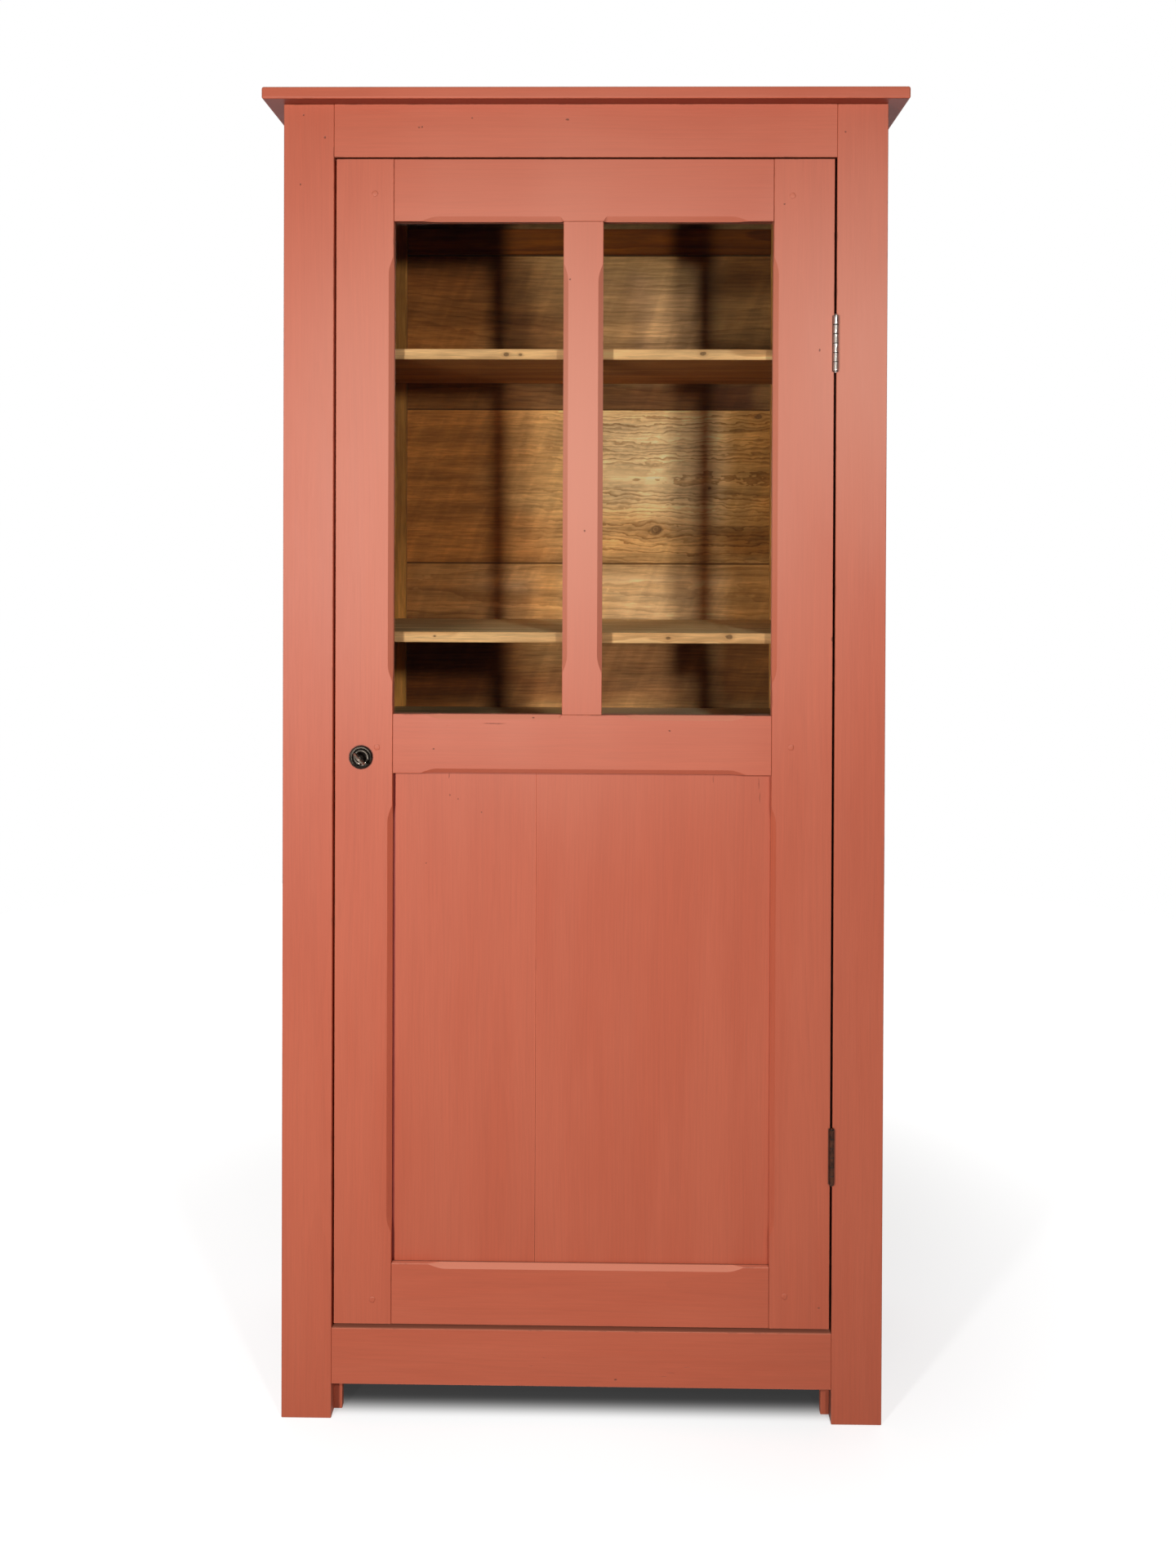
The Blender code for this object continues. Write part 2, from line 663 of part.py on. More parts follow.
def stations(length, runs):
    """Places along a member where its section is drawn."""
    places = set()
    for start, end, run_in, run_out in runs:
        for step in range(RUNOUT_STEPS + 1):
            share = step / RUNOUT_STEPS
            places.update((start + share * run_in, end - share * run_out))
    return [length[0] + END_ARRIS, *sorted(places), length[1] - END_ARRIS]


def section(width, depth, cuts):
    """Eight points round a rectangle whose four corners are cut off."""
    (u_low, u_high), (v_low, v_high) = width, depth
    front_low, front_high, rear_high, rear_low = cuts
    return [
        (u_low + front_low, v_low),
        (u_high - front_high, v_low),
        (u_high, v_low + front_high),
        (u_high, v_high - rear_high),
        (u_high - rear_high, v_high),
        (u_low + rear_low, v_high),
        (u_low, v_high - rear_low),
        (u_low, v_low + front_low),
    ]


def door_member(name, along, length, width, low_runs=(), high_runs=()):
    """A stile or rail of the door, with stopped chamfers along its low and high front edges."""
    depth = (0, DOOR_THICKNESS)
    rings = []
    for place in stations(length, [*low_runs, *high_runs]):
        cuts = (chamfer_at(place, low_runs), chamfer_at(place, high_runs), ARRIS, ARRIS)
        rings.append((place, section(width, depth, cuts)))
    inset = grow((width, depth), -END_ARRIS)
    rings.insert(0, (length[0], section(*inset, (ARRIS,) * 4)))
    rings.append((length[1], section(*inset, (ARRIS,) * 4)))
    if along == "z":
        return loft(name, [[world(u, v, place) for u, v in ring] for place, ring in rings])
    return loft(name, [[world(place, v, u) for u, v in ring] for place, ring in rings])


DOOR_RAILS = {
    "door_bottom_rail": (DOOR_LOW, PANEL_Z[0]),
    "door_lock_rail": (PANEL_Z[1], PANE_Z[0]),
    "door_top_rail": (PANE_Z[1], DOOR_HIGH),
}


def mullion_tenon():
    reach = (PANE_Z[0] - MULLION_TENON_LENGTH, PANE_Z[1] + MULLION_TENON_LENGTH)
    return ((MULLION[0] + TENON_SHOULDER, MULLION[1] - TENON_SHOULDER), TENON_LAYER, reach)


def pane_rebate(pane):
    """The rebate that holds one pane, cut from the back of every member round it."""
    across, height = grow((PANES_X[pane], PANE_Z), REBATE_WIDTH)
    return box("rebate", (across, (REBATE_FRONT, DOOR_THICKNESS + CUT_OVERRUN), height))


def panel_layer(by=0.0):
    return (DOOR_PANEL_RECESS - by, DOOR_PANEL_RECESS + DOOR_PANEL_THICKNESS + by)


def panel_groove():
    across, height = grow((SIGHT, PANEL_Z), GROOVE_REACH)
    return box("groove", (across, panel_layer(FIT_GAP), height))


def door_rails(body, paint):
    """Three rails. The chamfers stop short of the stiles and die out at the mullion."""
    shoulders = (SIGHT[0] + FIT_GAP, SIGHT[1] - FIT_GAP)
    hinge_end = SIGHT[1] - RAIL_STOP_HINGE_SIDE
    lock_end = SIGHT[0] + RAIL_STOP_LOCK_SIDE
    left_of_mullion = (MULLION[0], RUNOUT, RUNOUT_AT_MULLION)
    right_of_mullion = (MULLION[1], hinge_end, RUNOUT_AT_MULLION, RUNOUT)
    lock_rail_left = SIGHT[0] + LOCK_RAIL_STOP_LOCK_SIDE
    lock_rail_right = MULLION[1] + LOCK_RAIL_STOP_MULLION
    bottom_left = SIGHT[0] + BOTTOM_RAIL_STOP_LOCK_SIDE
    runs = {
        "door_top_rail": ([(lock_end, *left_of_mullion), right_of_mullion], []),
        "door_lock_rail": (
            [(lock_end, hinge_end, RUNOUT, RUNOUT)],
            [(lock_rail_left, *left_of_mullion), (lock_rail_right, hinge_end, RUNOUT, RUNOUT)],
        ),
        "door_bottom_rail": ([], [(bottom_left, hinge_end, RUNOUT, RUNOUT)]),
    }
    for name, height in DOOR_RAILS.items():
        rail = door_member(name, "x", shoulders, height, *runs[name])
        unite(rail, box("tenons", tenon_limits(SIGHT, height, DOOR_TENON_LENGTH)))
        tools = []
        if name != "door_bottom_rail":
            tools += [pane_rebate(pane) for pane in PANES_X]
            tools.append(box("mortise", grow(mullion_tenon(), FIT_GAP)))
        if name != "door_top_rail":
            tools.append(panel_groove())
        seat(cut(rail, *tools), body, paint)


def door_mullion(body, paint):
    length = (PANE_Z[0] + FIT_GAP, PANE_Z[1] - FIT_GAP)
    runs = [(PANE_Z[0] + MULLION_STOP, PANE_Z[1] - MULLION_STOP, RUNOUT, RUNOUT)]
    mullion = door_member("door_mullion", "z", length, MULLION, runs, runs)
    unite(mullion, box("tenon", mullion_tenon()))
    seat(cut(mullion, *(pane_rebate(pane) for pane in PANES_X)), body, paint)


def lock_pocket():
    """The pockets for the lock, open to the back and to the edge of the stile."""
    plate_x, _, plate_z = grow(lock_plate_limits(), FIT_GAP)
    case_x, case_depth, case_z = grow(lock_case_limits(), FIT_GAP)
    edge = DOOR[0] - CUT_OVERRUN
    rear = DOOR_THICKNESS + CUT_OVERRUN
    selvedge_x = DOOR[0] + SELVEDGE_THICKNESS + FIT_GAP
    return [
        box("plate_pocket", ((edge, plate_x[1]), (LOCK_PLATE_FRONT - FIT_GAP, rear), plate_z)),
        box("case_pocket", ((edge, case_x[1]), (case_depth[0], rear), case_z)),
        box("selvedge_pocket", ((edge, selvedge_x), (case_depth[0], rear), plate_z)),
    ]


def keyhole(rear):
    """The hole for the shank and the slot below it for the bit."""
    start = world(KEY_X, rear, KEY_HEIGHT)
    length = rear + ESCUTCHEON_RIM + CUT_OVERRUN
    hole = rod("hole", KEY_SHANK_RADIUS + KEYHOLE_PLAY, start, Vector((0, -1, 0)), length, 16)
    half_slot = (KEY_BIT_THICKNESS + KEYHOLE_SLOT_PLAY) / 2
    slot_x = (KEY_X - half_slot, KEY_X + half_slot)
    slot_z = (KEY_HEIGHT - KEY_BIT_REACH - KEYHOLE_SLOT_END, KEY_HEIGHT)
    return [hole, box("slot", (slot_x, (rear - length, rear), slot_z))]


def door_stiles(body, paint):
    length = (DOOR_LOW, DOOR_HIGH)
    runs = [
        (PANEL_Z[0] + STILE_STOP_BOTTOM, PANEL_Z[1] - STILE_STOP_LOCK_RAIL, RUNOUT, RUNOUT),
        (PANE_Z[0] + STILE_STOP_LOCK_RAIL, PANE_Z[1] - STILE_STOP_TOP, RUNOUT, RUNOUT),
    ]
    lock_stile = door_member("door_stile_lock", "z", length, (DOOR[0], SIGHT[0]), (), runs)
    hinge_stile = door_member("door_stile_hinge", "z", length, (SIGHT[1], DOOR[1]), runs, ())
    for stile, pane in ((lock_stile, "left"), (hinge_stile, "right")):
        joints = [mortises(SIGHT, height, DOOR_TENON_LENGTH) for height in DOOR_RAILS.values()]
        cut(stile, *joints, pane_rebate(pane), panel_groove())
    through = LOCK_CASE_FRONT + FIT_GAP
    seat(cut(lock_stile, *lock_pocket(), *keyhole(through)), body, paint)
    seat(cut(hinge_stile, *hinge_recesses(-1)), body, paint)


def door_panel(body, paint):
    """Two glued boards that float in the grooves."""
    across, height = grow((SIGHT, PANEL_Z), GROOVE_REACH - PANEL_PLAY)
    boards = {
        "door_panel_left": (across[0], DOOR_PANEL_JOINT - FIT_GAP / 2),
        "door_panel_right": (DOOR_PANEL_JOINT + FIT_GAP / 2, across[1]),
    }
    for name, board_x in boards.items():
        seat(box(name, (board_x, panel_layer(), height), END_ARRIS / 2), body, paint)


def glazing(body, glass, paint):
    """One pane and a mitred loop of wooden bead for each light."""
    for pane, sight in PANES_X.items():
        across, height = grow((sight, PANE_Z), REBATE_WIDTH - PANEL_PLAY)
        rear = REBATE_FRONT + FIT_GAP + GLASS_THICKNESS
        seat(box(f"glass_{pane}", (across, (rear - GLASS_THICKNESS, rear), height)), body, glass)
        depth = (rear + FIT_GAP, DOOR_THICKNESS - FIT_GAP)
        seat(bead_loop(f"glazing_beads_{pane}", sight, depth), body, paint)


def bead_loop(name, sight, depth):
    """A square bead round one pane, with its inner rear arris rounded off."""
    near, far = depth
    inner, outer = FIT_GAP, REBATE_WIDTH - FIT_GAP
    profile = [
        (inner, near),
        (outer, near),
        (outer, far),
        (inner + BEAD_ROUNDING, far),
        (inner, far - BEAD_ROUNDING),
    ]
    mesh = bmesh.new()
    rows = []
    for x_end, z_end in ((0, 0), (1, 0), (1, 1), (0, 1)):
        row = []
        for reach, place in profile:
            across, height = grow((sight, PANE_Z), reach)
            row.append(mesh.verts.new(world(across[x_end], place, height[z_end])))
        rows.append(row)
    bridge_closed(mesh, rows)
    return mesh_object(name, mesh)


def bridge_closed(mesh, rows):
    """Faces between rows of points that go round and meet themselves again."""
    for index, row in enumerate(rows):
        following = rows[(index + 1) % len(rows)]
        for place in range(len(row)):
            after = (place + 1) % len(row)
            mesh.faces.new((row[place], row[after], following[after], following[place]))


def knuckle(low, high):
    """One bored length of the barrel."""
    bore = PIN_RADIUS + FIT_GAP
    mesh = bmesh.new()
    rows = []
    for radius, z in ((KNUCKLE_RADIUS, low), (KNUCKLE_RADIUS, high), (bore, high), (bore, low)):
        row = []
        for step in range(KNUCKLE_SIDES):
            angle = 2 * math.pi * step / KNUCKLE_SIDES
            x = HINGE_X + radius * math.cos(angle)
            row.append(mesh.verts.new(world(x, HINGE_DEPTH + radius * math.sin(angle), z)))
        rows.append(row)
    bridge_closed(mesh, rows)
    return mesh_object("knuckle", mesh)


def hinge_leaf(hinge, side, name):
    """A plate that carries every second knuckle of the barrel."""
    across, depth, height = leaf_limits(hinge, side)
    leaf = box(name, (across, depth, height))
    pitch = HINGE_LENGTH / KNUCKLES
    web_front = HINGE_DEPTH + (PIN_RADIUS + FIT_GAP + KNUCKLE_RADIUS) / 2
    web_x = grow((across,), -FIT_GAP)[0]
    tools = []
    for number in range(1 if side < 0 else 0, KNUCKLES, 2):
        low = height[0] + number * pitch + FIT_GAP / 2
        high = low + pitch - FIT_GAP
        tools.append(knuckle(low, high))
        tools.append(box("web", (web_x, (web_front, sum(depth) / 2), (low + FIT_GAP, high - FIT_GAP))))
    unite(leaf, *tools)
    outward = Vector((-side, 0, 0))
    holes = []
    for place in hinge_screw_places(hinge, side):
        holes.append(screw_hole(HINGE_SCREW_HOLE, place, outward, LEAF_THICKNESS))
    return cut(leaf, *holes)


def hinge_pin(hinge):
    """A pin with a domed head above and below the barrel."""
    half = HINGE_LENGTH / 2
    seat_height = half + FIT_GAP
    shoulder = seat_height + (PIN_TIP - FIT_GAP) * PIN_DOME_SHARE
    upper_half = [
        (PIN_RADIUS, seat_height),
        (PIN_HEAD_RADIUS, seat_height),
        (PIN_HEAD_RADIUS * PIN_DOME_SHARE, shoulder),
        (0, half + PIN_TIP),
    ]
    profile = [(radius, -height) for radius, height in reversed(upper_half)] + upper_half
    centre = world(HINGE_X, HINGE_DEPTH, HINGE_HEIGHTS[hinge])
    return turned(f"hinge_{hinge}_pin", profile, centre, Vector((0, 0, 1)), 12)


def hinges(carcass, door, steels):
    for hinge in HINGE_HEIGHTS:
        seat(hinge_leaf(hinge, 1, f"hinge_{hinge}_frame_leaf"), carcass, steels[hinge])
        seat(hinge_leaf(hinge, -1, f"hinge_{hinge}_door_leaf"), door, steels[hinge])
        seat(hinge_pin(hinge), carcass, steels[hinge])


def lock_plate_limits():
    return (
        (DOOR[0], DOOR[0] + LOCK_PLATE_LENGTH),
        (LOCK_PLATE_FRONT, DOOR_THICKNESS),
        (KEY_HEIGHT - LOCK_PLATE_BELOW, KEY_HEIGHT + LOCK_PLATE_ABOVE),
    )


def lock_case_limits():
    across = (DOOR[0] + SELVEDGE_THICKNESS + FIT_GAP, DOOR[0] + LOCK_PLATE_LENGTH - FIT_GAP)
    height = (KEY_HEIGHT - LOCK_CASE_BELOW, KEY_HEIGHT + LOCK_CASE_ABOVE)
    return (across, (LOCK_CASE_FRONT, LOCK_PLATE_FRONT - FIT_GAP), height)


def lock_screw_places():
    """One screw near each corner of the plate, above and below the case."""
    across, depth, height = lock_plate_limits()
    corners = []
    for x in (across[0] + 2 * LOCK_SCREW_INSET, across[1] - LOCK_SCREW_INSET):
        for z in (height[0] + LOCK_SCREW_INSET, height[1] - LOCK_SCREW_INSET):
            corners.append(world(x, depth[1], z))
    return corners


def talon_span():
    """The notch that the bit needs in the bolt, from the bit's corners as key and bolt move."""
    half = KEY_BIT_THICKNESS / 2
    places = []
    for sample in range(TURN_SAMPLES + 1):
        turn_share = sample / TURN_SAMPLES
        angle = turn_share * KEY_TURN - KEY_REST_ANGLE
        for step in range(TURN_SAMPLES + 1):
            reach = KEY_BIT_REACH * step / TURN_SAMPLES
            for across in (-half, half):
                x = reach * math.cos(angle) - across * math.sin(angle)
                z = reach * math.sin(angle) + across * math.cos(angle)
                if z > PRONG_HEIGHT - TALON_CLEARANCE:
                    places.append(x + turn_share * BOLT_THROW)
    return min(places) - TALON_CLEARANCE, max(places) + TALON_CLEARANCE


def lock_bolt(body, steel):
    """A flat bar with a notch on its lower edge that the bit of the key pushes."""
    low, high = (KEY_X + place for place in talon_span())
    notch_top = KEY_HEIGHT + math.hypot(KEY_BIT_REACH, KEY_BIT_THICKNESS / 2) + TALON_CLEARANCE
    head = DOOR[0] + FIT_GAP
    tail = high + BOLT_PRONG
    outline = [
        (head, BOLT_Z[0]),
        (low, BOLT_Z[0]),
        (low, notch_top),
        (high, notch_top),
        (high, BOLT_Z[0]),
        (tail, BOLT_Z[0]),
        (tail, BOLT_Z[1]),
        (head, BOLT_Z[1]),
    ]
    seat(prism("lock_bolt", outline, BOLT_DEPTH), body, steel)


def lock(door, iron, steel):
    """A plate with its turned edge, and the shallow case that it closes."""
    plate_x, plate_depth, plate_z = lock_plate_limits()
    case_x, case_depth, case_z = lock_case_limits()
    outline = [
        (plate_x[0], case_depth[0]),
        (plate_x[0] + SELVEDGE_THICKNESS, case_depth[0]),
        (plate_x[0] + SELVEDGE_THICKNESS, plate_depth[0]),
        (plate_x[1], plate_depth[0]),
        (plate_x[1], plate_depth[1]),
        (plate_x[0], plate_depth[1]),
    ]
    plate = loft("lock_plate", [[world(x, depth, z) for x, depth in outline] for z in plate_z])
    edge_x = (plate_x[0] - CUT_OVERRUN, case_x[0] + FIT_GAP)
    _, slot_depth, slot_z = grow(((0, 0), BOLT_DEPTH, BOLT_Z), FIT_GAP)
    slot = box("bolt_slot", (edge_x, slot_depth, slot_z))
    start = world(KEY_X, DOOR_THICKNESS + CUT_OVERRUN, KEY_HEIGHT)
    shank_length = 2 * CUT_OVERRUN + LOCK_PLATE_THICKNESS
    shank_radius = KEY_SHANK_RADIUS + FIT_GAP
    shank_hole = rod("hole", shank_radius, start, Vector((0, -1, 0)), shank_length, 16)
    rear = Vector((0, 1, 0))
    holes = []
    for place in lock_screw_places():
        holes.append(screw_hole(SMALL_SCREW_HOLE, place, rear, LOCK_PLATE_THICKNESS))
    seat(cut(plate, slot, shank_hole, *holes), door, steel)
    case = box("lock_case", (case_x, case_depth, case_z))
    wall = LOCK_CASE_WALL
    inside_x = (case_x[0] - CUT_OVERRUN, case_x[1] - wall)
    inside_depth = (case_depth[0] + wall, case_depth[1] + CUT_OVERRUN)
    inside = box("inside", (inside_x, inside_depth, grow((case_z,), -wall)[0]))
    seat(cut(case, inside, *keyhole(inside_depth[0] + FIT_GAP)), door, iron)


def escutcheon(body, iron):
    """A turned disc with a raised rim, a groove and a dished middle, pierced by the keyhole."""
    rim_inner = ESCUTCHEON_RADIUS - ESCUTCHEON_RIM_WIDTH
    groove_inner = rim_inner - ESCUTCHEON_GROOVE_WIDTH
    profile = [
        (0, FIT_GAP),
        (ESCUTCHEON_RADIUS, FIT_GAP),
        (ESCUTCHEON_RADIUS, ESCUTCHEON_GROOVE),
        (ESCUTCHEON_RADIUS - ESCUTCHEON_RIM_WIDTH / 4, ESCUTCHEON_RIM),
        (rim_inner + ESCUTCHEON_RIM_WIDTH / 4, ESCUTCHEON_RIM),
        (rim_inner, ESCUTCHEON_GROOVE),
        (groove_inner, ESCUTCHEON_GROOVE),
        (groove_inner - ESCUTCHEON_GROOVE_WIDTH, ESCUTCHEON_SHOULDER),
        (ESCUTCHEON_DISH_RADIUS, (ESCUTCHEON_SHOULDER + ESCUTCHEON_DISH) / 2),
        (ESCUTCHEON_DISH_RADIUS / 2, ESCUTCHEON_DISH),
        (0, ESCUTCHEON_DISH),
    ]
    disc = turned("escutcheon", profile, world(KEY_X, 0, KEY_HEIGHT), Vector((0, -1, 0)), 28)
    seat(cut(disc, *keyhole(CUT_OVERRUN)), body, iron)


def bow_ring(centre):
    """An oval wire ring in the plane of the shank, as the handle of the key."""
    mesh = bmesh.new()
    rounds, sides = 20, 8
    rows = []
    for step in range(rounds):
        angle = 2 * math.pi * step / rounds
        out = Vector((math.cos(angle), -math.sin(angle), 0))
        middle = centre + Vector((out.x * BOW_HALF_WIDTH, out.y * BOW_HALF_LENGTH, 0))
        row = []
        for side in range(sides):
            round_angle = 2 * math.pi * side / sides
            offset = out * math.cos(round_angle) + Vector((0, 0, math.sin(round_angle)))
            row.append(mesh.verts.new(middle + offset * BOW_WIRE_RADIUS))
        rows.append(row)
    bridge_closed(mesh, rows)
    return mesh_object("bow", mesh)


def key(body, iron):
    """Shank, collar, bow and bit. The bit starts 45 degrees off its way in, to the lower right."""
    tip = -(DOOR_THICKNESS - KEY_TIP_INSET)
    collar_end = KEY_COLLAR_START + KEY_COLLAR_LENGTH
    profile = [
        (0, tip),
        (KEY_SHANK_RADIUS, tip),
        (KEY_SHANK_RADIUS, KEY_COLLAR_START),
        (KEY_COLLAR_RADIUS, KEY_COLLAR_START),
        (KEY_COLLAR_RADIUS, collar_end),
        (KEY_SHANK_RADIUS, collar_end),
        (KEY_SHANK_RADIUS, collar_end + KEY_NECK_LENGTH),
        (0, collar_end + KEY_NECK_LENGTH),
    ]
    axis = world(KEY_X, 0, KEY_HEIGHT)
    shank = turned("key", profile, axis, Vector((0, -1, 0)), 14)
    half = KEY_BIT_THICKNESS / 2
    bit_x = (KEY_X, KEY_X + KEY_BIT_REACH)
    bit_z = (KEY_HEIGHT - half, KEY_HEIGHT + half)
    bit = box("bit", (bit_x, grow((BOLT_DEPTH,), -KEY_BIT_INSET)[0], bit_z))
    bow = bow_ring(world(KEY_X, -BOW_CENTRE, KEY_HEIGHT))
    unite(shank, bow, bit)
    turn = Matrix.Rotation(KEY_REST_ANGLE, 4, "Y")
    shank.data.transform(Matrix.Translation(axis) @ turn @ Matrix.Translation(-axis))
    seat(shank, body, iron, axis)


def strike_plate(body, steel):
    plate = box("strike_plate", strike_limits())
    _, slot_depth, slot_z = grow(((0, 0), BOLT_DEPTH, BOLT_Z), 2 * FIT_GAP)
    across = grow(strike_limits(), CUT_OVERRUN)[0]
    slot = box("bolt_slot", (across, slot_depth, slot_z))
    inward = Vector((1, 0, 0))
    holes = []
    for place in strike_screw_places():
        holes.append(screw_hole(SMALL_SCREW_HOLE, place, inward, STRIKE_THICKNESS))
    seat(cut(plate, slot, *holes), body, steel)


def build():
    clear_scene()
    carcass = body_empty("carcass_body", Vector((0, 0, 0)))
    door = body_empty("door_swing_axis", world(HINGE_X, HINGE_DEPTH, 0), carcass)
    key_axis = body_empty("key_turn_axis", world(KEY_X, 0, KEY_HEIGHT), door)
    bolt_way = body_empty("bolt_slide_axis", world(DOOR[0], BOLT_DEPTH[0], BOLT_Z[0]), door)
    paint, old, new = coral_paint(), old_pine(), new_pine()
    steel, dark, iron = bright_steel(), dark_steel(), black_iron()

    front_frame(carcass, paint)
    door_stops(carcass, paint)
    for side, name in ((-1, "left"), (1, "right")):
        side_frame(carcass, paint, side, name)
    back(carcass, old)
    cornice(carcass, paint)
    shelves(carcass, old, new)
    strike_plate(carcass, dark)

    door_stiles(door, paint)
    door_rails(door, paint)
    door_mullion(door, paint)
    door_panel(door, paint)
    glazing(door, clear_glass(), paint)
    lock(door, dark, dark)
    escutcheon(door, iron)

    hinges(carcass, door, {"upper": steel, "lower": dark})
    key(key_axis, iron)
    lock_bolt(bolt_way, dark)


build()
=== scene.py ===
import math

import bmesh
import bpy
from mathutils import Matrix, Vector


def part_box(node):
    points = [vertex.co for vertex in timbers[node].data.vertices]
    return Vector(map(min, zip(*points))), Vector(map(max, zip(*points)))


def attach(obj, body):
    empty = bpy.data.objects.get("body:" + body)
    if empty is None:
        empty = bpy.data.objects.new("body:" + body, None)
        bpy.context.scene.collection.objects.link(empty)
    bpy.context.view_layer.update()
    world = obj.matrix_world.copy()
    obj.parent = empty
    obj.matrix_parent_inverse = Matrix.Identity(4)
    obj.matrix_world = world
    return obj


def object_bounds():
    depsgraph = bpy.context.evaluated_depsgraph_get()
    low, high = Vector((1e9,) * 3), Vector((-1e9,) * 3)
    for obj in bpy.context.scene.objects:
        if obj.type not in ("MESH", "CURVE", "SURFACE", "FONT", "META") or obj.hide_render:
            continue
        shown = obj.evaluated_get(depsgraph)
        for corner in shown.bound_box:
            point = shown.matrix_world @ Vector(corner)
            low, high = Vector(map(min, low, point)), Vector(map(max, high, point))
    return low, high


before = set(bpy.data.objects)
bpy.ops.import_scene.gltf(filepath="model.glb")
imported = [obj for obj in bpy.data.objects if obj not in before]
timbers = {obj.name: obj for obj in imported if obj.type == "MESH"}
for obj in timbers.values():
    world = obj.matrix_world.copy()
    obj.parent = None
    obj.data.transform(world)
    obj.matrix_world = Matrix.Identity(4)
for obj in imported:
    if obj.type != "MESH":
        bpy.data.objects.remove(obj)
cad_low, cad_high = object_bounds()


# The face frame: two uprights that run down into the front feet, and two rails tenoned between them.
# Planed pine, brushed all over with coral satin paint. The brush follows each piece, and the
# grain, old dents and filled nail holes still show through the coat.

bench = {}


def put(kind, settings=None, **sockets):
    """One shader node in the tree on the bench, with its settings and with values or other nodes'
    outputs in its sockets."""
    made = bench["tree"].nodes.new("ShaderNode" + kind)
    for name, value in (settings or {}).items():
        setattr(made, name, value)
    for name, value in sockets.items():
        fill(made.inputs[name.replace("_", " ")], value)
    return made


def fill(socket, value):
    """Gives a socket its value, or joins another node's output to it."""
    if isinstance(value, bpy.types.NodeSocket):
        bench["tree"].links.new(value, socket)
    else:
        socket.default_value = value


def sums(operation, *values, clamp=False):
    """A Math node's result."""
    made = put("Math", {"operation": operation, "use_clamp": clamp})
    for socket, value in zip(made.inputs, values):
        fill(socket, value)
    return made.outputs[0]


def times(first, second, clamp=False):
    return sums("MULTIPLY", first, second, clamp=clamp)


def gain(value, factor, base, clamp=False):
    """A value times a factor, added to a base."""
    return sums("MULTIPLY_ADD", value, factor, base, clamp=clamp)


def less(first, second, clamp=False):
    return sums("SUBTRACT", first, second, clamp=clamp)


def greater(first, second):
    return sums("MAXIMUM", first, second)


def distance(value, middle):
    """How far a value is from the middle, on either side."""
    return sums("ABSOLUTE", less(value, middle))


def shifts(operation, *values):
    """A Vector Math node's result: a number for a length, and otherwise a vector."""
    made = put("VectorMath", {"operation": operation})
    for socket, value in zip(made.inputs, values):
        fill(socket, value)
    return made.outputs["Value" if operation in ("LENGTH", "DOT_PRODUCT", "DISTANCE") else "Vector"]


def way_from(place, middle, stretch):
    """The way from a point to the place, stretched by a factor on each axis."""
    return shifts("MULTIPLY", shifts("SUBTRACT", place, middle), stretch)


def split(vector):
    """The three axes of a vector, by the names X, Y and Z."""
    return put("SeparateXYZ", Vector=vector).outputs


def ease(value, low, high, from_low=0.0, to_high=1.0):
    """Runs smoothly from from_low to to_high as value goes from low to high."""
    made = put("MapRange", {"interpolation_type": "SMOOTHSTEP"}, Value=value)
    made.inputs["From Min"].default_value = low
    made.inputs["From Max"].default_value = high
    made.inputs["To Min"].default_value = from_low
    made.inputs["To Max"].default_value = to_high
    return made.outputs["Result"]


def fade(value, low, high):
    """Runs smoothly from one to nothing as value goes from low to high."""
    return ease(value, low, high, 1.0, 0.0)


def tint(share, first, second, way="MIX"):
    """Two colours mixed by a share from 0 to 1."""
    made = put("Mix", {"data_type": "RGBA", "blend_type": way})
    fill(made.inputs[0], share)
    for socket, value in ((made.inputs[6], first), (made.inputs[7], second)):
        fill(socket, value if isinstance(value, bpy.types.NodeSocket) else (*value, 1.0))
    return made.outputs[2]


def scaled(colour, light):
    """A colour made lighter or darker by a factor."""
    made = put("VectorMath", {"operation": "SCALE"})
    fill(made.inputs[0], colour)
    fill(made.inputs["Scale"], light)
    return made.outputs["Vector"]


def stained(colour, glaze):
    """A colour seen through a coloured glaze."""
    return tint(1.0, colour, glaze, "MULTIPLY")


def cloud(place, stretch, detail=2.0, roughness=0.5, output="Fac"):
    """Noise whose lumps are 1 / stretch metres long, with one stretch for all axes or one for each."""
    stretches = stretch if isinstance(stretch, tuple) else (stretch, stretch, stretch)
    stretched = shifts("MULTIPLY", place, stretches)
    made = put("TexNoise", Vector=stretched, Scale=1.0, Detail=detail, Roughness=roughness)
    return made.outputs[output]


def shake(place, stretch, detail):
    """The same noise as a vector, from -0.5 to 0.5 on each axis."""
    return shifts("SUBTRACT", cloud(place, stretch, detail, output="Color"), (0.5, 0.5, 0.5))


def effect(name, takes, gives):
    """An empty shader node group, laid on the bench, with its inputs and outputs by name. Position,
    Low and High are vectors, and all else is numbers."""
    tree = bench["tree"] = bpy.data.node_groups.new(name, "ShaderNodeTree")
    for way, labels in (("INPUT", takes), ("OUTPUT", gives)):
        for label in labels.split(", "):
            kind = "NodeSocketVector" if label in ("Position", "Low", "High") else "NodeSocketFloat"
            tree.interface.new_socket(label, in_out=way, socket_type=kind)
    return tree, tree.nodes.new("NodeGroupInput").outputs, tree.nodes.new("NodeGroupOutput").inputs


def moved_by_seed(given, shares):
    """The place moved by the seed, so that no two pieces look the same."""
    offset = put("CombineXYZ")
    for socket, share in zip(offset.inputs, shares):
        fill(socket, times(given["Seed"], share))
    return shifts("ADD", given["Position"], offset.outputs[0])


def use(group, **sockets):
    """A group placed in a material with its own values, as its outputs by name."""
    made = put("Group", {"node_tree": group}, **sockets)
    return made.outputs


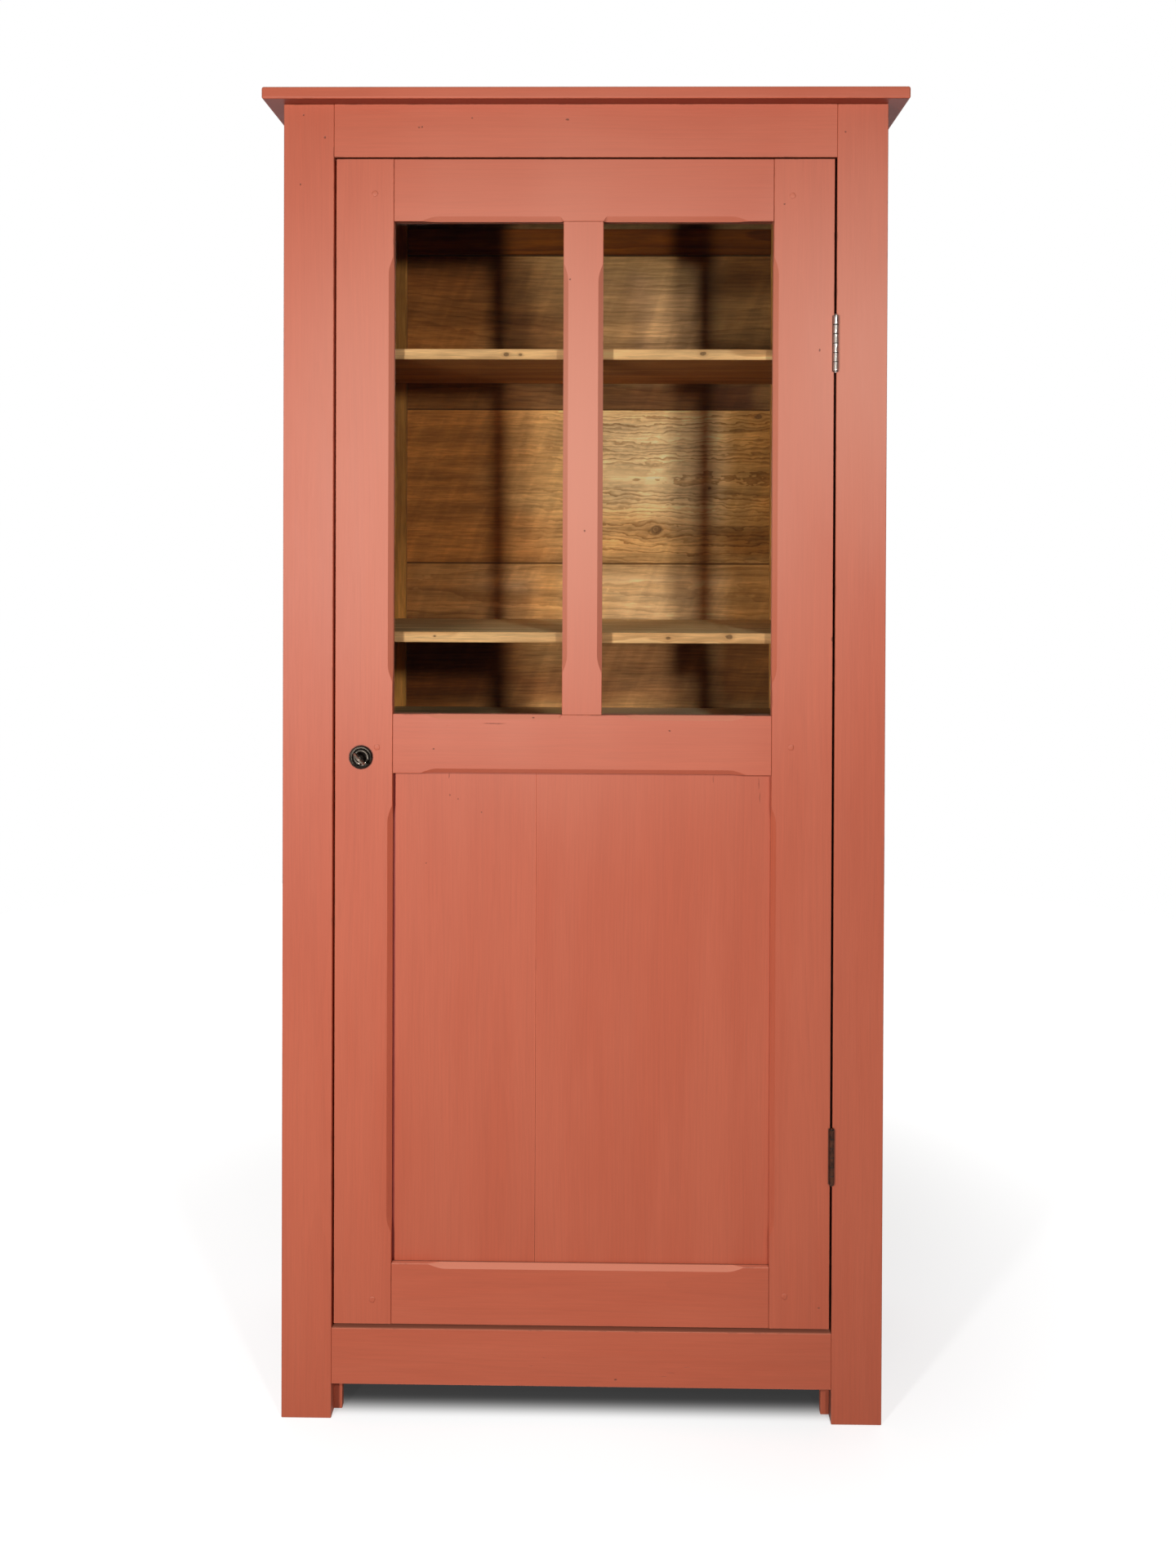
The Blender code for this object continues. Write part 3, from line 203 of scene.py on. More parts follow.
def growth_figure():
    """The rings, streaks and fibres of a board sawn from a log. Position runs along the grain, across
    and through."""
    takes = "Position, Heart Across, Heart Below, Ring Gap, Wander, Ripple, Curl, Seed"
    tree, given, wanted = effect("growth figure", takes, "Late Wood, Streaks, Flecks, Fibres")
    place = moved_by_seed(given, (3.71, 1.37, 2.23))
    drift = split(shake(place, (1.1, 2.6, 2.6), 1.0))
    ripple = cloud(place, (13.0, 46.0, 46.0), 2.0, 0.55)
    parts = split(given["Position"])
    across = less(parts["Y"], given["Heart Across"])
    across = gain(drift["X"], given["Wander"], across)
    below = sums("ADD", parts["Z"], given["Heart Below"])
    below = gain(drift["Y"], given["Wander"], below)
    squares = sums("ADD", times(across, across), times(below, below))
    radius = sums("SQRT", squares)
    radius = gain(less(ripple, 0.5), given["Ripple"], radius)
    curl = cloud(place, (38.0, 95.0, 95.0), 2.0, 0.6)
    radius = gain(less(curl, 0.5), given["Curl"], radius)
    ring = sums("DIVIDE", radius, given["Ring Gap"])
    through = sums("FRACT", ring)
    late = times(ease(through, 0.25, 0.9), fade(through, 0.92, 1.0))
    year = put("TexWhiteNoise", {"noise_dimensions": "1D"}, W=sums("FLOOR", ring))
    strength = gain(year.outputs["Value"], 0.75, 0.25)
    fill(wanted["Late Wood"], times(late, strength))
    fill(wanted["Streaks"], cloud(place, (1.7, 30.0, 30.0), 3.0, 0.6))
    fill(wanted["Flecks"], cloud(place, (17.0, 230.0, 230.0), 3.0, 0.65))
    fill(wanted["Fibres"], cloud(place, (22.0, 760.0, 760.0), 2.0, 0.6))
    return tree


def brush_marks():
    """The fine ridges that bristles leave along a stroke, and where one stroke laps another."""
    tree, given, wanted = effect("brush marks", "Position, Seed", "Ridges, Laps")
    place = moved_by_seed(given, (1.93, 4.07, 0.61))
    bend = less(cloud(place, (3.0, 5.0, 5.0), 1.0), 0.5)
    lean = put("CombineXYZ")
    fill(lean.inputs["Y"], times(bend, 0.02))
    stroke = shifts("ADD", place, lean.outputs[0])
    fine = cloud(stroke, (5.0, 420.0, 420.0), 3.0, 0.6)
    broad = cloud(stroke, (2.4, 60.0, 60.0), 2.0, 0.5)
    fill(wanted["Ridges"], gain(fine, 0.65, times(broad, 0.35)))
    fill(wanted["Laps"], cloud(stroke, (2.1, 13.0, 13.0), 3.0, 0.6))
    return tree


def arris_wear():
    """How near a point is to the long edges of a straight piece, broken up as rubbing does it."""
    tree, given, wanted = effect("arris wear", "Position, Low, High, Reach", "Edge, Rubbed")
    inner = shifts("SUBTRACT", given["Position"], given["Low"])
    outer = shifts("SUBTRACT", given["High"], given["Position"])
    x, y, z = split(shifts("MINIMUM", inner, outer))
    least = sums("MINIMUM", sums("MINIMUM", x, y), z)
    most = greater(greater(x, y), z)
    total = sums("ADD", sums("ADD", x, y), z)
    second = less(less(total, least), most)
    share = sums("DIVIDE", second, given["Reach"])
    edge = fade(share, 0.0, 1.0)
    patches = cloud(given["Position"], 26.0, 4.0, 0.65)
    fill(wanted["Edge"], edge)
    fill(wanted["Rubbed"], times(edge, ease(patches, 0.52, 0.68)))
    return tree


def dents_and_specks():
    """A few small knocks and filled nail holes, thinly spread over a surface."""
    tree, given, wanted = effect("dents and specks", "Position, Spread, Share, Seed", "Dent, Speck")
    place = moved_by_seed(given, (0.83, 0.47, 1.19))
    wobble = shifts("MULTIPLY", shake(place, 260.0, 2.0), (0.0024, 0.0024, 0.0024))
    place = shifts("ADD", place, wobble)
    cells = put("TexVoronoi", Vector=place, Scale=given["Spread"])
    colour = put("SeparateColor", Color=cells.outputs["Color"])
    away = sums("DIVIDE", cells.outputs["Distance"], given["Spread"])
    size = gain(colour.outputs["Green"], 0.0017, 0.0006)
    spot = fade(sums("DIVIDE", away, size), 0.6, 1.25)
    chosen = sums("LESS_THAN", colour.outputs["Red"], given["Share"])
    dent = times(spot, chosen)
    dark = sums("GREATER_THAN", colour.outputs["Blue"], 0.55)
    fill(wanted["Dent"], dent)
    fill(wanted["Speck"], times(dent, dark))
    return tree


GROWTH_FIGURE = growth_figure()
BRUSH_MARKS = brush_marks()
ARRIS_WEAR = arris_wear()
DENTS_AND_SPECKS = dents_and_specks()

FRONT_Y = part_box("front_stile_left")[0].y
CORAL = (0.580, 0.120, 0.056)
CORAL_THIN = (0.660, 0.170, 0.090)
CORAL_DEEP = (0.490, 0.088, 0.036)
CORAL_SHEEN_PAINTED = (0.740, 0.290, 0.190)
CORAL_TOP_LIGHT_PAINTED = (0.760, 0.270, 0.165)
UNDERSIDE_SHADE_PAINTED = (0.42, 0.25, 0.18)
# dirt and wear, and also painted shade round the hinges and in the rails' gaps
DIRT_AND_PAINTED_SHADE = (0.110, 0.030, 0.014)
PAINT_RELIEF = 0.00016


def lay_on_bench(owner):
    """Clears the nodes of a material or world and takes them in work."""
    owner.use_nodes = True
    owner.node_tree.nodes.clear()
    bench["tree"] = owner.node_tree


def new_finish(name):
    """A material laid on the bench, with its Principled shader and the object's own coordinates."""
    finish = bpy.data.materials.new(name)
    lay_on_bench(finish)
    shader = put("BsdfPrincipled")
    put("OutputMaterial", Surface=shader.outputs[0])
    return finish, shader, put("TexCoord").outputs["Object"]


def in_board(place, centre, run):
    """The place measured from a board's centre, with the axes in the order along, across and through."""
    parts = split(shifts("SUBTRACT", place, tuple(centre)))
    turned = put("CombineXYZ")
    for socket, axis in zip(turned.inputs, run):
        fill(socket, parts[axis])
    return turned.outputs[0]


def coral_coat(place, low, high, run, seed, tone=1.0, rubbed=0.45):
    """The colour, roughness and height of the coral paint on one straight piece. Rubbed is how far
    the paint is worn off its arrises."""
    board = in_board(place, (low + high) / 2, run)
    heart = 0.05 * math.sin(7.0 * seed)
    figure = use(
        GROWTH_FIGURE, Position=board, Heart_Across=heart, Heart_Below=0.045, Ring_Gap=0.0052,
        Wander=0.05, Ripple=0.004, Curl=0.0, Seed=seed,
    )
    marks = use(BRUSH_MARKS, Position=board, Seed=seed)
    worn = use(ARRIS_WEAR, Position=place, Low=low, High=high, Reach=0.0022)
    knocks = use(DENTS_AND_SPECKS, Position=place, Spread=15.0, Share=0.16, Seed=seed)
    colour = tint(ease(marks["Laps"], 0.35, 0.68), CORAL_DEEP, CORAL_THIN)
    colour = tint(0.80, colour, CORAL)
    ridge = ease(marks["Ridges"], 0.35, 0.65, -0.5, 0.5)
    light = gain(ridge, 0.045, tone)
    light = gain(figure["Late Wood"], -0.03, light)
    light = gain(less(figure["Fibres"], 0.5), -0.12, light)
    light = less(light, darker_low_right(place))
    colour = scaled(colour, light)
    # painted sheen: a paler, pinker coat in the middle of the door and by the upper hinge
    colour = tint(painted_sheen(place), colour, CORAL_SHEEN_PAINTED)
    # painted light: upward faces are paler, as if lit from above; painted shade: downward faces are deeper
    upward = split(put("NewGeometry").outputs["Normal"])["Z"]
    colour = tint(ease(upward, 0.25, 0.70, 0.0, 0.75), colour, CORAL_TOP_LIGHT_PAINTED)
    below = stained(colour, UNDERSIDE_SHADE_PAINTED)
    colour = tint(fade(upward, -1.0, -0.75), colour, below)
    colour = tint(times(worn["Edge"], 0.30), colour, CORAL_THIN)
    colour = tint(times(worn["Rubbed"], rubbed), colour, DIRT_AND_PAINTED_SHADE)
    colour = tint(times(knocks["Speck"], 0.75), colour, DIRT_AND_PAINTED_SHADE)
    rough = gain(marks["Laps"], 0.14, 0.43)
    rough = gain(figure["Fibres"], 0.08, rough)
    height = times(marks["Ridges"], 0.55)
    height = gain(figure["Late Wood"], 0.16, height)
    height = gain(figure["Fibres"], 0.14, height)
    height = gain(knocks["Dent"], -1.2, height)
    return colour, rough, height


def painted_sheen(place):
    """Painted sheen: the coat is paler and pinker round the middle of the panes and by the upper hinge,
    standing in for the satin sheen that the lamps leave on the paint there."""
    patchy = times(cloud(place, (6.0, 6.0, 3.0), 2.0), 0.14)
    shares = []
    for middle, stretch, near, far, most in (
        ((-0.03, FRONT_Y, 1.38), (1.0, 2.0, 0.94), 0.08, 0.68, 0.80),
        ((0.38, FRONT_Y, 1.49), (1.0, 2.0, 1.0), 0.08, 0.50, 0.60),
    ):
        out = shifts("LENGTH", way_from(place, middle, stretch))
        shares.append(ease(sums("ADD", out, patchy), near, far, most, 0.0))
    return greater(*shares)


def darker_low_right(place):
    """How much darker the coat is painted towards the right foot."""
    parts = split(place)
    low = ease(parts["Z"], 0.75, 1.15, 0.085, 0.0)
    return times(ease(parts["X"], 0.12, 0.40), low)


def dress(shader, colour, rough, height, depth):
    """Joins a coat's colour, roughness and height to its shader. Depth is its relief in metres."""
    fill(shader.inputs["Base Color"], colour)
    fill(shader.inputs["Roughness"], rough)
    fill(shader.inputs["Normal"], put("Bump", Strength=1.0, Distance=depth, Height=height).outputs[0])


def ease_arrises(piece, width):
    """Rounds the edges of a piece as sanding and paint do."""
    weld = piece.modifiers.new("closed skin", "WELD")
    weld.merge_threshold = 0.00001
    round_over = piece.modifiers.new("eased arrises", "BEVEL")
    round_over.width = width
    round_over.segments = 2
    round_over.limit_method = "ANGLE"
    round_over.angle_limit = math.radians(28)
    even = piece.modifiers.new("even light", "WEIGHTED_NORMAL")
    even.keep_sharp = False


def give(piece, finish):
    """Puts a finish on all of a piece of the model."""
    for slot in piece.material_slots:
        slot.material = finish


RUB_FOR_EACH_METRE = 900


def paint_coral(names, run, first_seed, changes=(), tone=1.0, arris=0.0005):
    """Paints straight timbers of the model, each with its own grain and brush marks. Each change
    alters the coat's colour, roughness and height by place. Arris is how far the edges are eased,
    and the paint is rubbed off them as much."""
    for step, name in enumerate(names):
        low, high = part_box(name)
        finish, shader, place = new_finish("coral_" + name)
        rubbed = RUB_FOR_EACH_METRE * arris
        coat = coral_coat(place, low, high, run, first_seed + 1.7 * step, tone, rubbed)
        for change in changes:
            coat = change(place, *coat)
        dress(shader, *coat, PAINT_RELIEF)
        give(timbers[name], finish)
        ease_arrises(timbers[name], arris)


def marked(marks, dirt=0.72):
    """Small old marks on the front: nail holes, knocks and short cracks, where the paint has broken
    and dirt has gone in. Each is given by its middle, half its width and half its height."""

    def by_place(place, colour, rough, height):
        loose = shifts("MULTIPLY", shake(place, 420.0, 2.0), (0.0016, 0.0, 0.0016))
        loose = shifts("ADD", place, loose)
        for x, z, half_width, half_height in marks:
            out = shifts("SUBTRACT", loose, (x, FRONT_Y, z))
            out = shifts("LENGTH", shifts("DIVIDE", out, (half_width, 0.02, half_height)))
            mark = fade(out, 0.55, 1.15)
            colour = tint(times(mark, dirt), colour, DIRT_AND_PAINTED_SHADE)
            height = gain(mark, -1.6, height)
        return colour, rough, height

    return by_place


PIN_X = 0.35235
HINGE_HEIGHTS = {"upper": 1.5253, "lower": 0.3807}
GAP_SHADE_PAINTED = (0.030, 0.008, 0.005)


def painted_shade_round_hinges(place, colour, rough, height):
    """Painted shade: a dark line runs round the knuckles, where the wood is cut away for them, and the
    faces inside the gap between door and frame are painted dark."""
    parts = split(place)
    from_pin = distance(parts["X"], PIN_X)
    beside = ease(from_pin, 0.0041, 0.0053, 0.92, 0.0)
    for level in HINGE_HEIGHTS.values():
        along = distance(parts["Z"], level)
        mask = times(beside, fade(along, 0.0385, 0.0405))
        colour = tint(mask, colour, DIRT_AND_PAINTED_SHADE)
    in_gap = fade(from_pin, 0.0018, 0.0022)
    deep = ease(parts["Y"], FRONT_Y + 0.0008, FRONT_Y + 0.0030, 0.0, 0.78)
    colour = tint(times(in_gap, deep), colour, GAP_SHADE_PAINTED)
    return colour, rough, height


STILE_MARKS = (
    (-0.3972, 1.8459, 0.0016, 0.0014),
    (-0.3668, 1.8144, 0.0014, 0.0022),
    (-0.4013, 1.7480, 0.0012, 0.0016),
    (0.3650, 1.8220, 0.0013, 0.0013),
)
RAIL_MARKS = (
    (-0.2340, 1.8285, 0.0017, 0.0012),
    (-0.2295, 1.8290, 0.0011, 0.0014),
    (-0.1591, 1.8417, 0.0015, 0.0012),
    (-0.0251, 1.8394, 0.0030, 0.0015),
    (0.0497, 0.0600, 0.0022, 0.0015),
)
paint_coral(
    ["front_stile_left", "front_stile_right"], "ZXY", 1.3, [marked(STILE_MARKS), painted_shade_round_hinges],
)
RAIL_SCUFFS = (
    (-0.0700, 0.0780, 0.0030, 0.0006),
    (-0.0520, 0.0900, 0.0025, 0.0006),
    (0.1180, 0.0655, 0.0040, 0.0006),
    (0.1280, 0.0705, 0.0060, 0.0007),
    (0.1500, 0.0790, 0.0050, 0.0006),
)


def painted_shade_behind(near, far, share):
    """Painted shade on the narrow faces of a rail, in the gaps and on the ledges behind its front, growing
    from one depth behind the front to another.
    """

    def by_place(place, colour, rough, height):
        deep = split(place)["Y"]
        dirty = ease(deep, FRONT_Y + near, FRONT_Y + far, 0.0, share)
        before_rear = fade(deep, FRONT_Y + 0.0150, FRONT_Y + 0.0200)
        return tint(times(dirty, before_rear), colour, DIRT_AND_PAINTED_SHADE), rough, height

    return by_place


paint_coral(
    ["front_top_rail", "front_bottom_rail"], "XZY", 5.1,
    [marked(RAIL_MARKS), marked(RAIL_SCUFFS, 0.12), painted_shade_behind(0.0015, 0.0050, 0.45)],
)
paint_coral(["door_stop_left", "door_stop_right"], "ZXY", 8.2, tone=0.92)


# The sides: a panel in the grooves of two uprights and two rails. Coral outside, bare pine inside.
# The rear uprights run down into the rear feet.

# darker than the back's pine: painted shade inside the carcass
SHADED_INSIDE_PINE = ((0.230, 0.096, 0.030), (0.105, 0.038, 0.010))


def pine_colour(board, woods, heart, gap, wander, ripple, seed, curl=0.0, lines=0.85):
    """The colour, roughness and height of bare pine. Woods are the colours of its early and late wood."""
    figure = use(
        GROWTH_FIGURE, Position=board, Heart_Across=heart[0], Heart_Below=heart[1], Ring_Gap=gap,
        Wander=wander, Ripple=ripple, Curl=curl, Seed=seed,
    )
    colour = tint(times(figure["Late Wood"], lines), *woods)
    streak = ease(figure["Streaks"], 0.30, 0.72, 0.70, 1.20)
    fleck = ease(figure["Flecks"], 0.32, 0.70, 0.82, 1.13)
    fibre = ease(figure["Fibres"], 0.30, 0.70, 0.90, 1.07)
    colour = scaled(colour, times(times(streak, fleck), fibre))
    rough = gain(figure["Fibres"], 0.22, 0.60)
    height = gain(figure["Late Wood"], 0.5, times(figure["Fibres"], 0.5))
    return colour, rough, height


def side_finish(name, run, seed):
    """Coral on the outer faces of a side timber and bare pine on its inner face."""
    low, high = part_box(name)
    outer = max(abs(low.x), abs(high.x))
    inner = min(abs(low.x), abs(high.x))
    finish, shader, place = new_finish("coral_and_pine_" + name)
    paint = coral_coat(place, low, high, run, seed)
    board = in_board(place, (low + high) / 2, run)
    pine = pine_colour(board, SHADED_INSIDE_PINE, (0.03, 0.06), 0.006, 0.05, 0.004, seed)
    apart = sums("ABSOLUTE", split(place)["X"])
    ragged = gain(cloud(place, 160.0), 0.0008, apart)
    coat = ease(ragged, inner + 0.0016, inner + 0.0021)
    mixed = [tint(coat, pine[0], paint[0])]
    for bare, painted in zip(pine[1:], paint[1:]):
        mixed.append(sums("ADD", times(coat, less(painted, bare)), bare))
    dress(shader, *mixed, PAINT_RELIEF)
    give(timbers[name], finish)
    ease_arrises(timbers[name], 0.0004 if outer - inner > 0.01 else 0.0002)


for number, side in enumerate(("left", "right")):
    side_finish("side_front_stile_" + side, "ZYX", 11.3 + number)
    side_finish("side_rear_stile_" + side, "ZYX", 14.9 + number)
    side_finish("side_top_rail_" + side, "YZX", 18.4 + number)
    side_finish("side_bottom_rail_" + side, "YZX", 21.8 + number)
    side_finish("side_panel_" + side, "ZYX", 25.1 + number)


# The top: one wide board that stands out over the front and sides, nailed down on the frames.
# Coral, with its underside painted deeper as painted shade, like every downward face.

paint_coral(["cornice_board"], "XYZ", 31.7)


# The back: horizontal boards of old pine, browned with age, between two wide uprights, with a
# batten across near the top. Never painted. The middle board has a rippled figure and three knots.

OLD_PINE = ((0.560, 0.290, 0.105), (0.230, 0.092, 0.024))
BATTEN_PINE = ((0.30, 0.072, 0.003), (0.15, 0.028, 0.001))
OLD_STAIN = (0.640, 0.370, 0.140)
PALEST_PINE = (0.900, 0.700, 0.480)
KNOT_HEART = (0.045, 0.018, 0.008)
SPECK = (0.05, 0.02, 0.01)


def knot_in_board():
    """A knot: the grain parts round it, its heart is dark, and the wood near it is browner."""
    tree, given, wanted = effect("knot", "Position, Along, Across, Size", "Position, Heart, Halo")
    parts = split(given["Position"])
    rough = less(cloud(given["Position"], 120.0, 2.0), 0.5)
    along = less(parts["X"], given["Along"])
    across = less(parts["Y"], given["Across"])
    far_along = sums("DIVIDE", along, times(given["Size"], 1.5))
    far_across = sums("DIVIDE", across, given["Size"])
    squares = times(far_across, far_across)
    squares = sums("ADD", times(far_along, far_along), squares)
    away = sums("ADD", sums("SQRT", squares), times(rough, 0.9))
    push = sums("POWER", 2.718, times(squares, -0.16))
    kept = less(1.0, times(push, 0.85))
    bent = put("CombineXYZ", X=parts["X"], Z=parts["Z"])
    fill(bent.inputs["Y"], gain(across, kept, given["Across"]))
    ring = sums("FRACT", times(away, 3.0))
    heart = times(fade(away, 0.75, 1.0), ease(ring, 0.0, 1.0, 0.55, 1.0))
    fill(wanted["Position"], bent.outputs[0])
    fill(wanted["Heart"], heart)
    fill(wanted["Halo"], fade(away, 0.9, 2.4))
    return tree


KNOT = knot_in_board()


def bare_pine(
    name, run, woods, heart, gap, wander, ripple, seed, knots=(), tone=1.0, curl=0.0, change=None,
    lines=0.85,
):
    """Bare pine on one timber. Knots are given by their place along and across, and their size. Change
    alters the colour by place, and lines is how dark the late wood is: a number, or it goes by place."""
    low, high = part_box(name)
    centre = (low + high) / 2
    finish, shader, place = new_finish("pine_" + name)
    board = in_board(place, centre, run)
    first, second = ("XYZ".index(axis) for axis in run[:2])
    masks = []
    for along, across, size in knots:
        beside, above = along - centre[first], across - centre[second]
        knot = use(KNOT, Position=board, Along=beside, Across=above, Size=size)
        board = knot["Position"]
        masks.append(knot)
    if callable(lines):
        lines = lines(place)
    colour, rough, height = pine_colour(board, woods, heart, gap, wander, ripple, seed, curl, lines)
    if change:
        colour = change(place, colour)
    for knot in masks:
        colour = tint(times(knot["Halo"], 0.30), colour, woods[1])
        colour = tint(times(knot["Heart"], 0.80), colour, KNOT_HEART)
        height = gain(knot["Heart"], -0.8, height)
    marks = use(DENTS_AND_SPECKS, Position=place, Spread=19.0, Share=0.18, Seed=seed)
    colour = tint(times(marks["Speck"], 0.7), colour, SPECK)
    worn = use(ARRIS_WEAR, Position=place, Low=low, High=high, Reach=0.004)
    colour = tint(times(worn["Edge"], 0.35), colour, woods[1])
    patches = ease(cloud(place, (4.0, 4.0, 6.0), 3.0, 0.6), 0.30, 0.70, 0.86, 1.12)
    colour = scaled(colour, times(patches, tone))
    colour = tint(1.0, colour, PALEST_PINE, "DARKEN")
    shader.inputs["Specular IOR Level"].default_value = 0.14
    dress(shader, colour, rough, height, 0.00018)
    give(timbers[name], finish)
    ease_arrises(timbers[name], 0.0003)


REAR_TONE = 0.85
JOINT_DARK = (0.035, 0.014, 0.005)


def behind_face(place, inside):
    """Nothing on a timber's inner face, and one on all that lies behind it."""
    return ease(split(place)["Y"], inside + 0.0008, inside + 0.0016)


def weathered_with_painted_light(number, patches, tone):
    """The boards' inner face is redder and darker towards the left, and wipe marks lighten it in streaks.
    Patches are given by their middle, half their width and height, and how they change it: mostly painted
    light and shade, lighter where the lamps' light falls and darker in the shadows of the door and
    shelves, with some grime and paler wood. Each board's top edge gets a painted highlight. Tone is the
    inner face's own, partly the board's colour and partly painted light, and the rear keeps the same tone
    on every board."""
    low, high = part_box(f"back_board_{number}")
    middle, half = (low.z + high.z) / 2, (high.z - low.z) / 2

    def by_place(place, plain):
        parts = split(place)
        wavy = less(cloud(place, (5.0, 5.0, 12.0), 3.0), 0.5)
        loose = gain(wavy, 0.20, parts["X"])
        left = ease(loose, -0.22, 0.0, 0.86, 0.0)
        colour = tint(left, plain, stained(plain, OLD_STAIN))
        across = shifts("DOT_PRODUCT", place, (42.0, 0.0, -18.0))
        along = shifts("DOT_PRODUCT", place, (3.0, 0.0, 7.0))
        wiped = put("CombineXYZ", X=across, Y=along)
        wiped = put("TexNoise", Vector=wiped.outputs[0], Scale=1.0, Detail=3.0, Roughness=0.55)
        colour = scaled(colour, ease(wiped.outputs["Fac"], 0.40, 0.70, 0.94, 1.16))
        for x, z, half_width, half_height, change in patches:
            out = shifts("SUBTRACT", place, (x, 0.0, z))
            out = shifts("ABSOLUTE", shifts("DIVIDE", out, (half_width, 1.0, half_height)))
            reach = split(out)
            reach = gain(wavy, 0.9, greater(reach["X"], reach["Z"]))
            mask = fade(reach, 0.50, 1.30)
            colour = tint(mask, colour, stained(colour, change))
        # painted highlight along each board's top edge
        painted_highlight = ease(parts["Z"], high.z - 0.0044, high.z - 0.0026, 0.0, 0.40)
        colour = tint(painted_highlight, colour, scaled(colour, 1.7))
        from_middle = distance(parts["Z"], middle)
        joint = ease(from_middle, half - 0.0020, half - 0.0008, 0.0, 0.75)
        colour = tint(joint, colour, JOINT_DARK)
        return tint(behind_face(place, low.y), colour, scaled(plain, REAR_TONE / tone))

    return by_place


def lines_to_the_right(place):
    """The dark lines of the rings are faint under the stain at the left and clear at the right."""
    return ease(split(place)["X"], -0.16, 0.06, 0.26, 0.88)


def old_board(number, heart, gap, wander, ripple, knots=(), tone=1.0, curl=0.0, patches=(), lines=0.45):
    """One board of the back, by its number from the top."""
    bare_pine(
        f"back_board_{number}", "XZY", OLD_PINE, heart, gap, wander, ripple, 40.0 + 3.3 * number, knots,
        tone, curl, weathered_with_painted_light(number, patches, tone), lines,
    )


MIDDLE_KNOTS = ((0.113, 1.265, 0.0085), (0.283, 1.453, 0.0050), (0.202, 1.334, 0.0026))
# patches by middle x and z, half width, half height and change: mostly painted light and shade, with some
# grime and paler wood
UNDER_TOP = (
    (-0.230, 1.610, 0.085, 0.080, (1.45, 1.40, 1.45)),
    (-0.085, 1.610, 0.070, 0.110, (0.66, 0.60, 0.56)),
    (-0.070, 1.570, 0.085, 0.050, (0.72, 0.66, 0.62)),
    (-0.230, 1.715, 0.120, 0.060, (0.74, 0.66, 0.58)),
    (0.050, 1.600, 0.055, 0.120, (0.74, 0.71, 0.76)),
    (0.140, 1.590, 0.070, 0.110, (1.12, 1.14, 1.38)),
    (0.275, 1.600, 0.090, 0.130, (0.58, 0.50, 0.42)),
    (0.290, 1.715, 0.090, 0.060, (0.55, 0.42, 0.28)),
    (-0.085, 1.482, 0.075, 0.030, (0.62, 0.52, 0.46)),
    (0.130, 1.482, 0.200, 0.030, (0.40, 0.30, 0.24)),
    (0.240, 1.482, 0.045, 0.030, (0.62, 0.54, 0.62)),
)
MIDDLE_PAINTED_LIGHT_AND_SHADE = (
    (0.120, 1.370, 0.130, 0.100, (1.22, 1.45, 1.95)),
    (0.010, 1.250, 0.140, 0.060, (0.84, 0.80, 0.78)),
    (0.290, 1.340, 0.075, 0.180, (0.56, 0.46, 0.30)),
    (0.285, 1.245, 0.080, 0.024, (0.68, 0.58, 0.46)),
)
BESIDE_SHELF = (
    (-0.220, 1.195, 0.110, 0.030, (1.10, 1.32, 1.80)),
    (-0.220, 1.140, 0.110, 0.035, (0.90, 1.05, 1.40)),
    (0.290, 1.160, 0.075, 0.080, (0.62, 0.52, 0.38)),
    (0.110, 1.195, 0.120, 0.022, (0.85, 0.90, 1.05)),
    (0.110, 1.140, 0.120, 0.045, (1.22, 1.38, 1.80)),
    (-0.230, 1.030, 0.130, 0.075, (0.34, 0.25, 0.18)),
    (0.080, 1.030, 0.150, 0.075, (0.54, 0.44, 0.43)),
    (-0.040, 0.995, 0.090, 0.025, (0.72, 0.62, 0.58)),
    (0.290, 1.030, 0.090, 0.075, (0.30, 0.20, 0.12)),
)
# each board's tone is partly its own colour and partly painted light on its inner face
old_board(1, (0.02, 0.05), 0.007, 0.06, 0.004, tone=0.6)
old_board(2, (-0.05, 0.07), 0.0060, 0.10, 0.009, tone=1.08, curl=0.004, patches=UNDER_TOP, lines=0.40)
old_board(
    3, (0.015, 0.030), 0.0062, 0.09, 0.016, MIDDLE_KNOTS, tone=1.66, curl=0.013, patches=MIDDLE_PAINTED_LIGHT_AND_SHADE,
    lines=lines_to_the_right,
)
old_board(4, (0.09, 0.08), 0.0052, 0.07, 0.006, tone=1.54, curl=0.004, patches=BESIDE_SHELF, lines=0.42)
old_board(5, (-0.03, 0.04), 0.0070, 0.08, 0.006, ((-0.120, 0.800, 0.007),), tone=1.1)
old_board(6, (0.04, 0.06), 0.0062, 0.06, 0.006, ((0.190, 0.520, 0.006),))
old_board(7, (-0.06, 0.05), 0.0070, 0.08, 0.006)


def inner_face(name, change):
    """Changes the colour of a timber's inner face only."""
    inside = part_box(name)[0].y

    def by_place(place, plain):
        return tint(behind_face(place, inside), stained(plain, change), plain)

    return by_place


def darker_to_the_right(place, plain):
    """The batten is half as light at its right end."""
    return scaled(plain, ease(split(place)["X"], 0.17, 0.23, 1.0, 0.50))


for side, heart, seed in (("left", (0.04, 0.05), 71.0), ("right", (-0.03, 0.06), 73.0)):
    name = "back_stile_" + side
    bare_pine(
        name, "ZXY", OLD_PINE, heart, 0.006, 0.06, 0.004, seed, tone=0.92,
        change=inner_face(name, (1.55, 1.25, 0.75)), lines=0.5,
    )
bare_pine(
    "back_batten", "XZY", BATTEN_PINE, (0.01, 0.05), 0.006, 0.05, 0.003, 75.0, change=darker_to_the_right,
)
bare_pine("bottom_board", "XYZ", OLD_PINE, (0.05, 0.06), 0.007, 0.08, 0.006, 77.0)

JOINT_BITES = 90


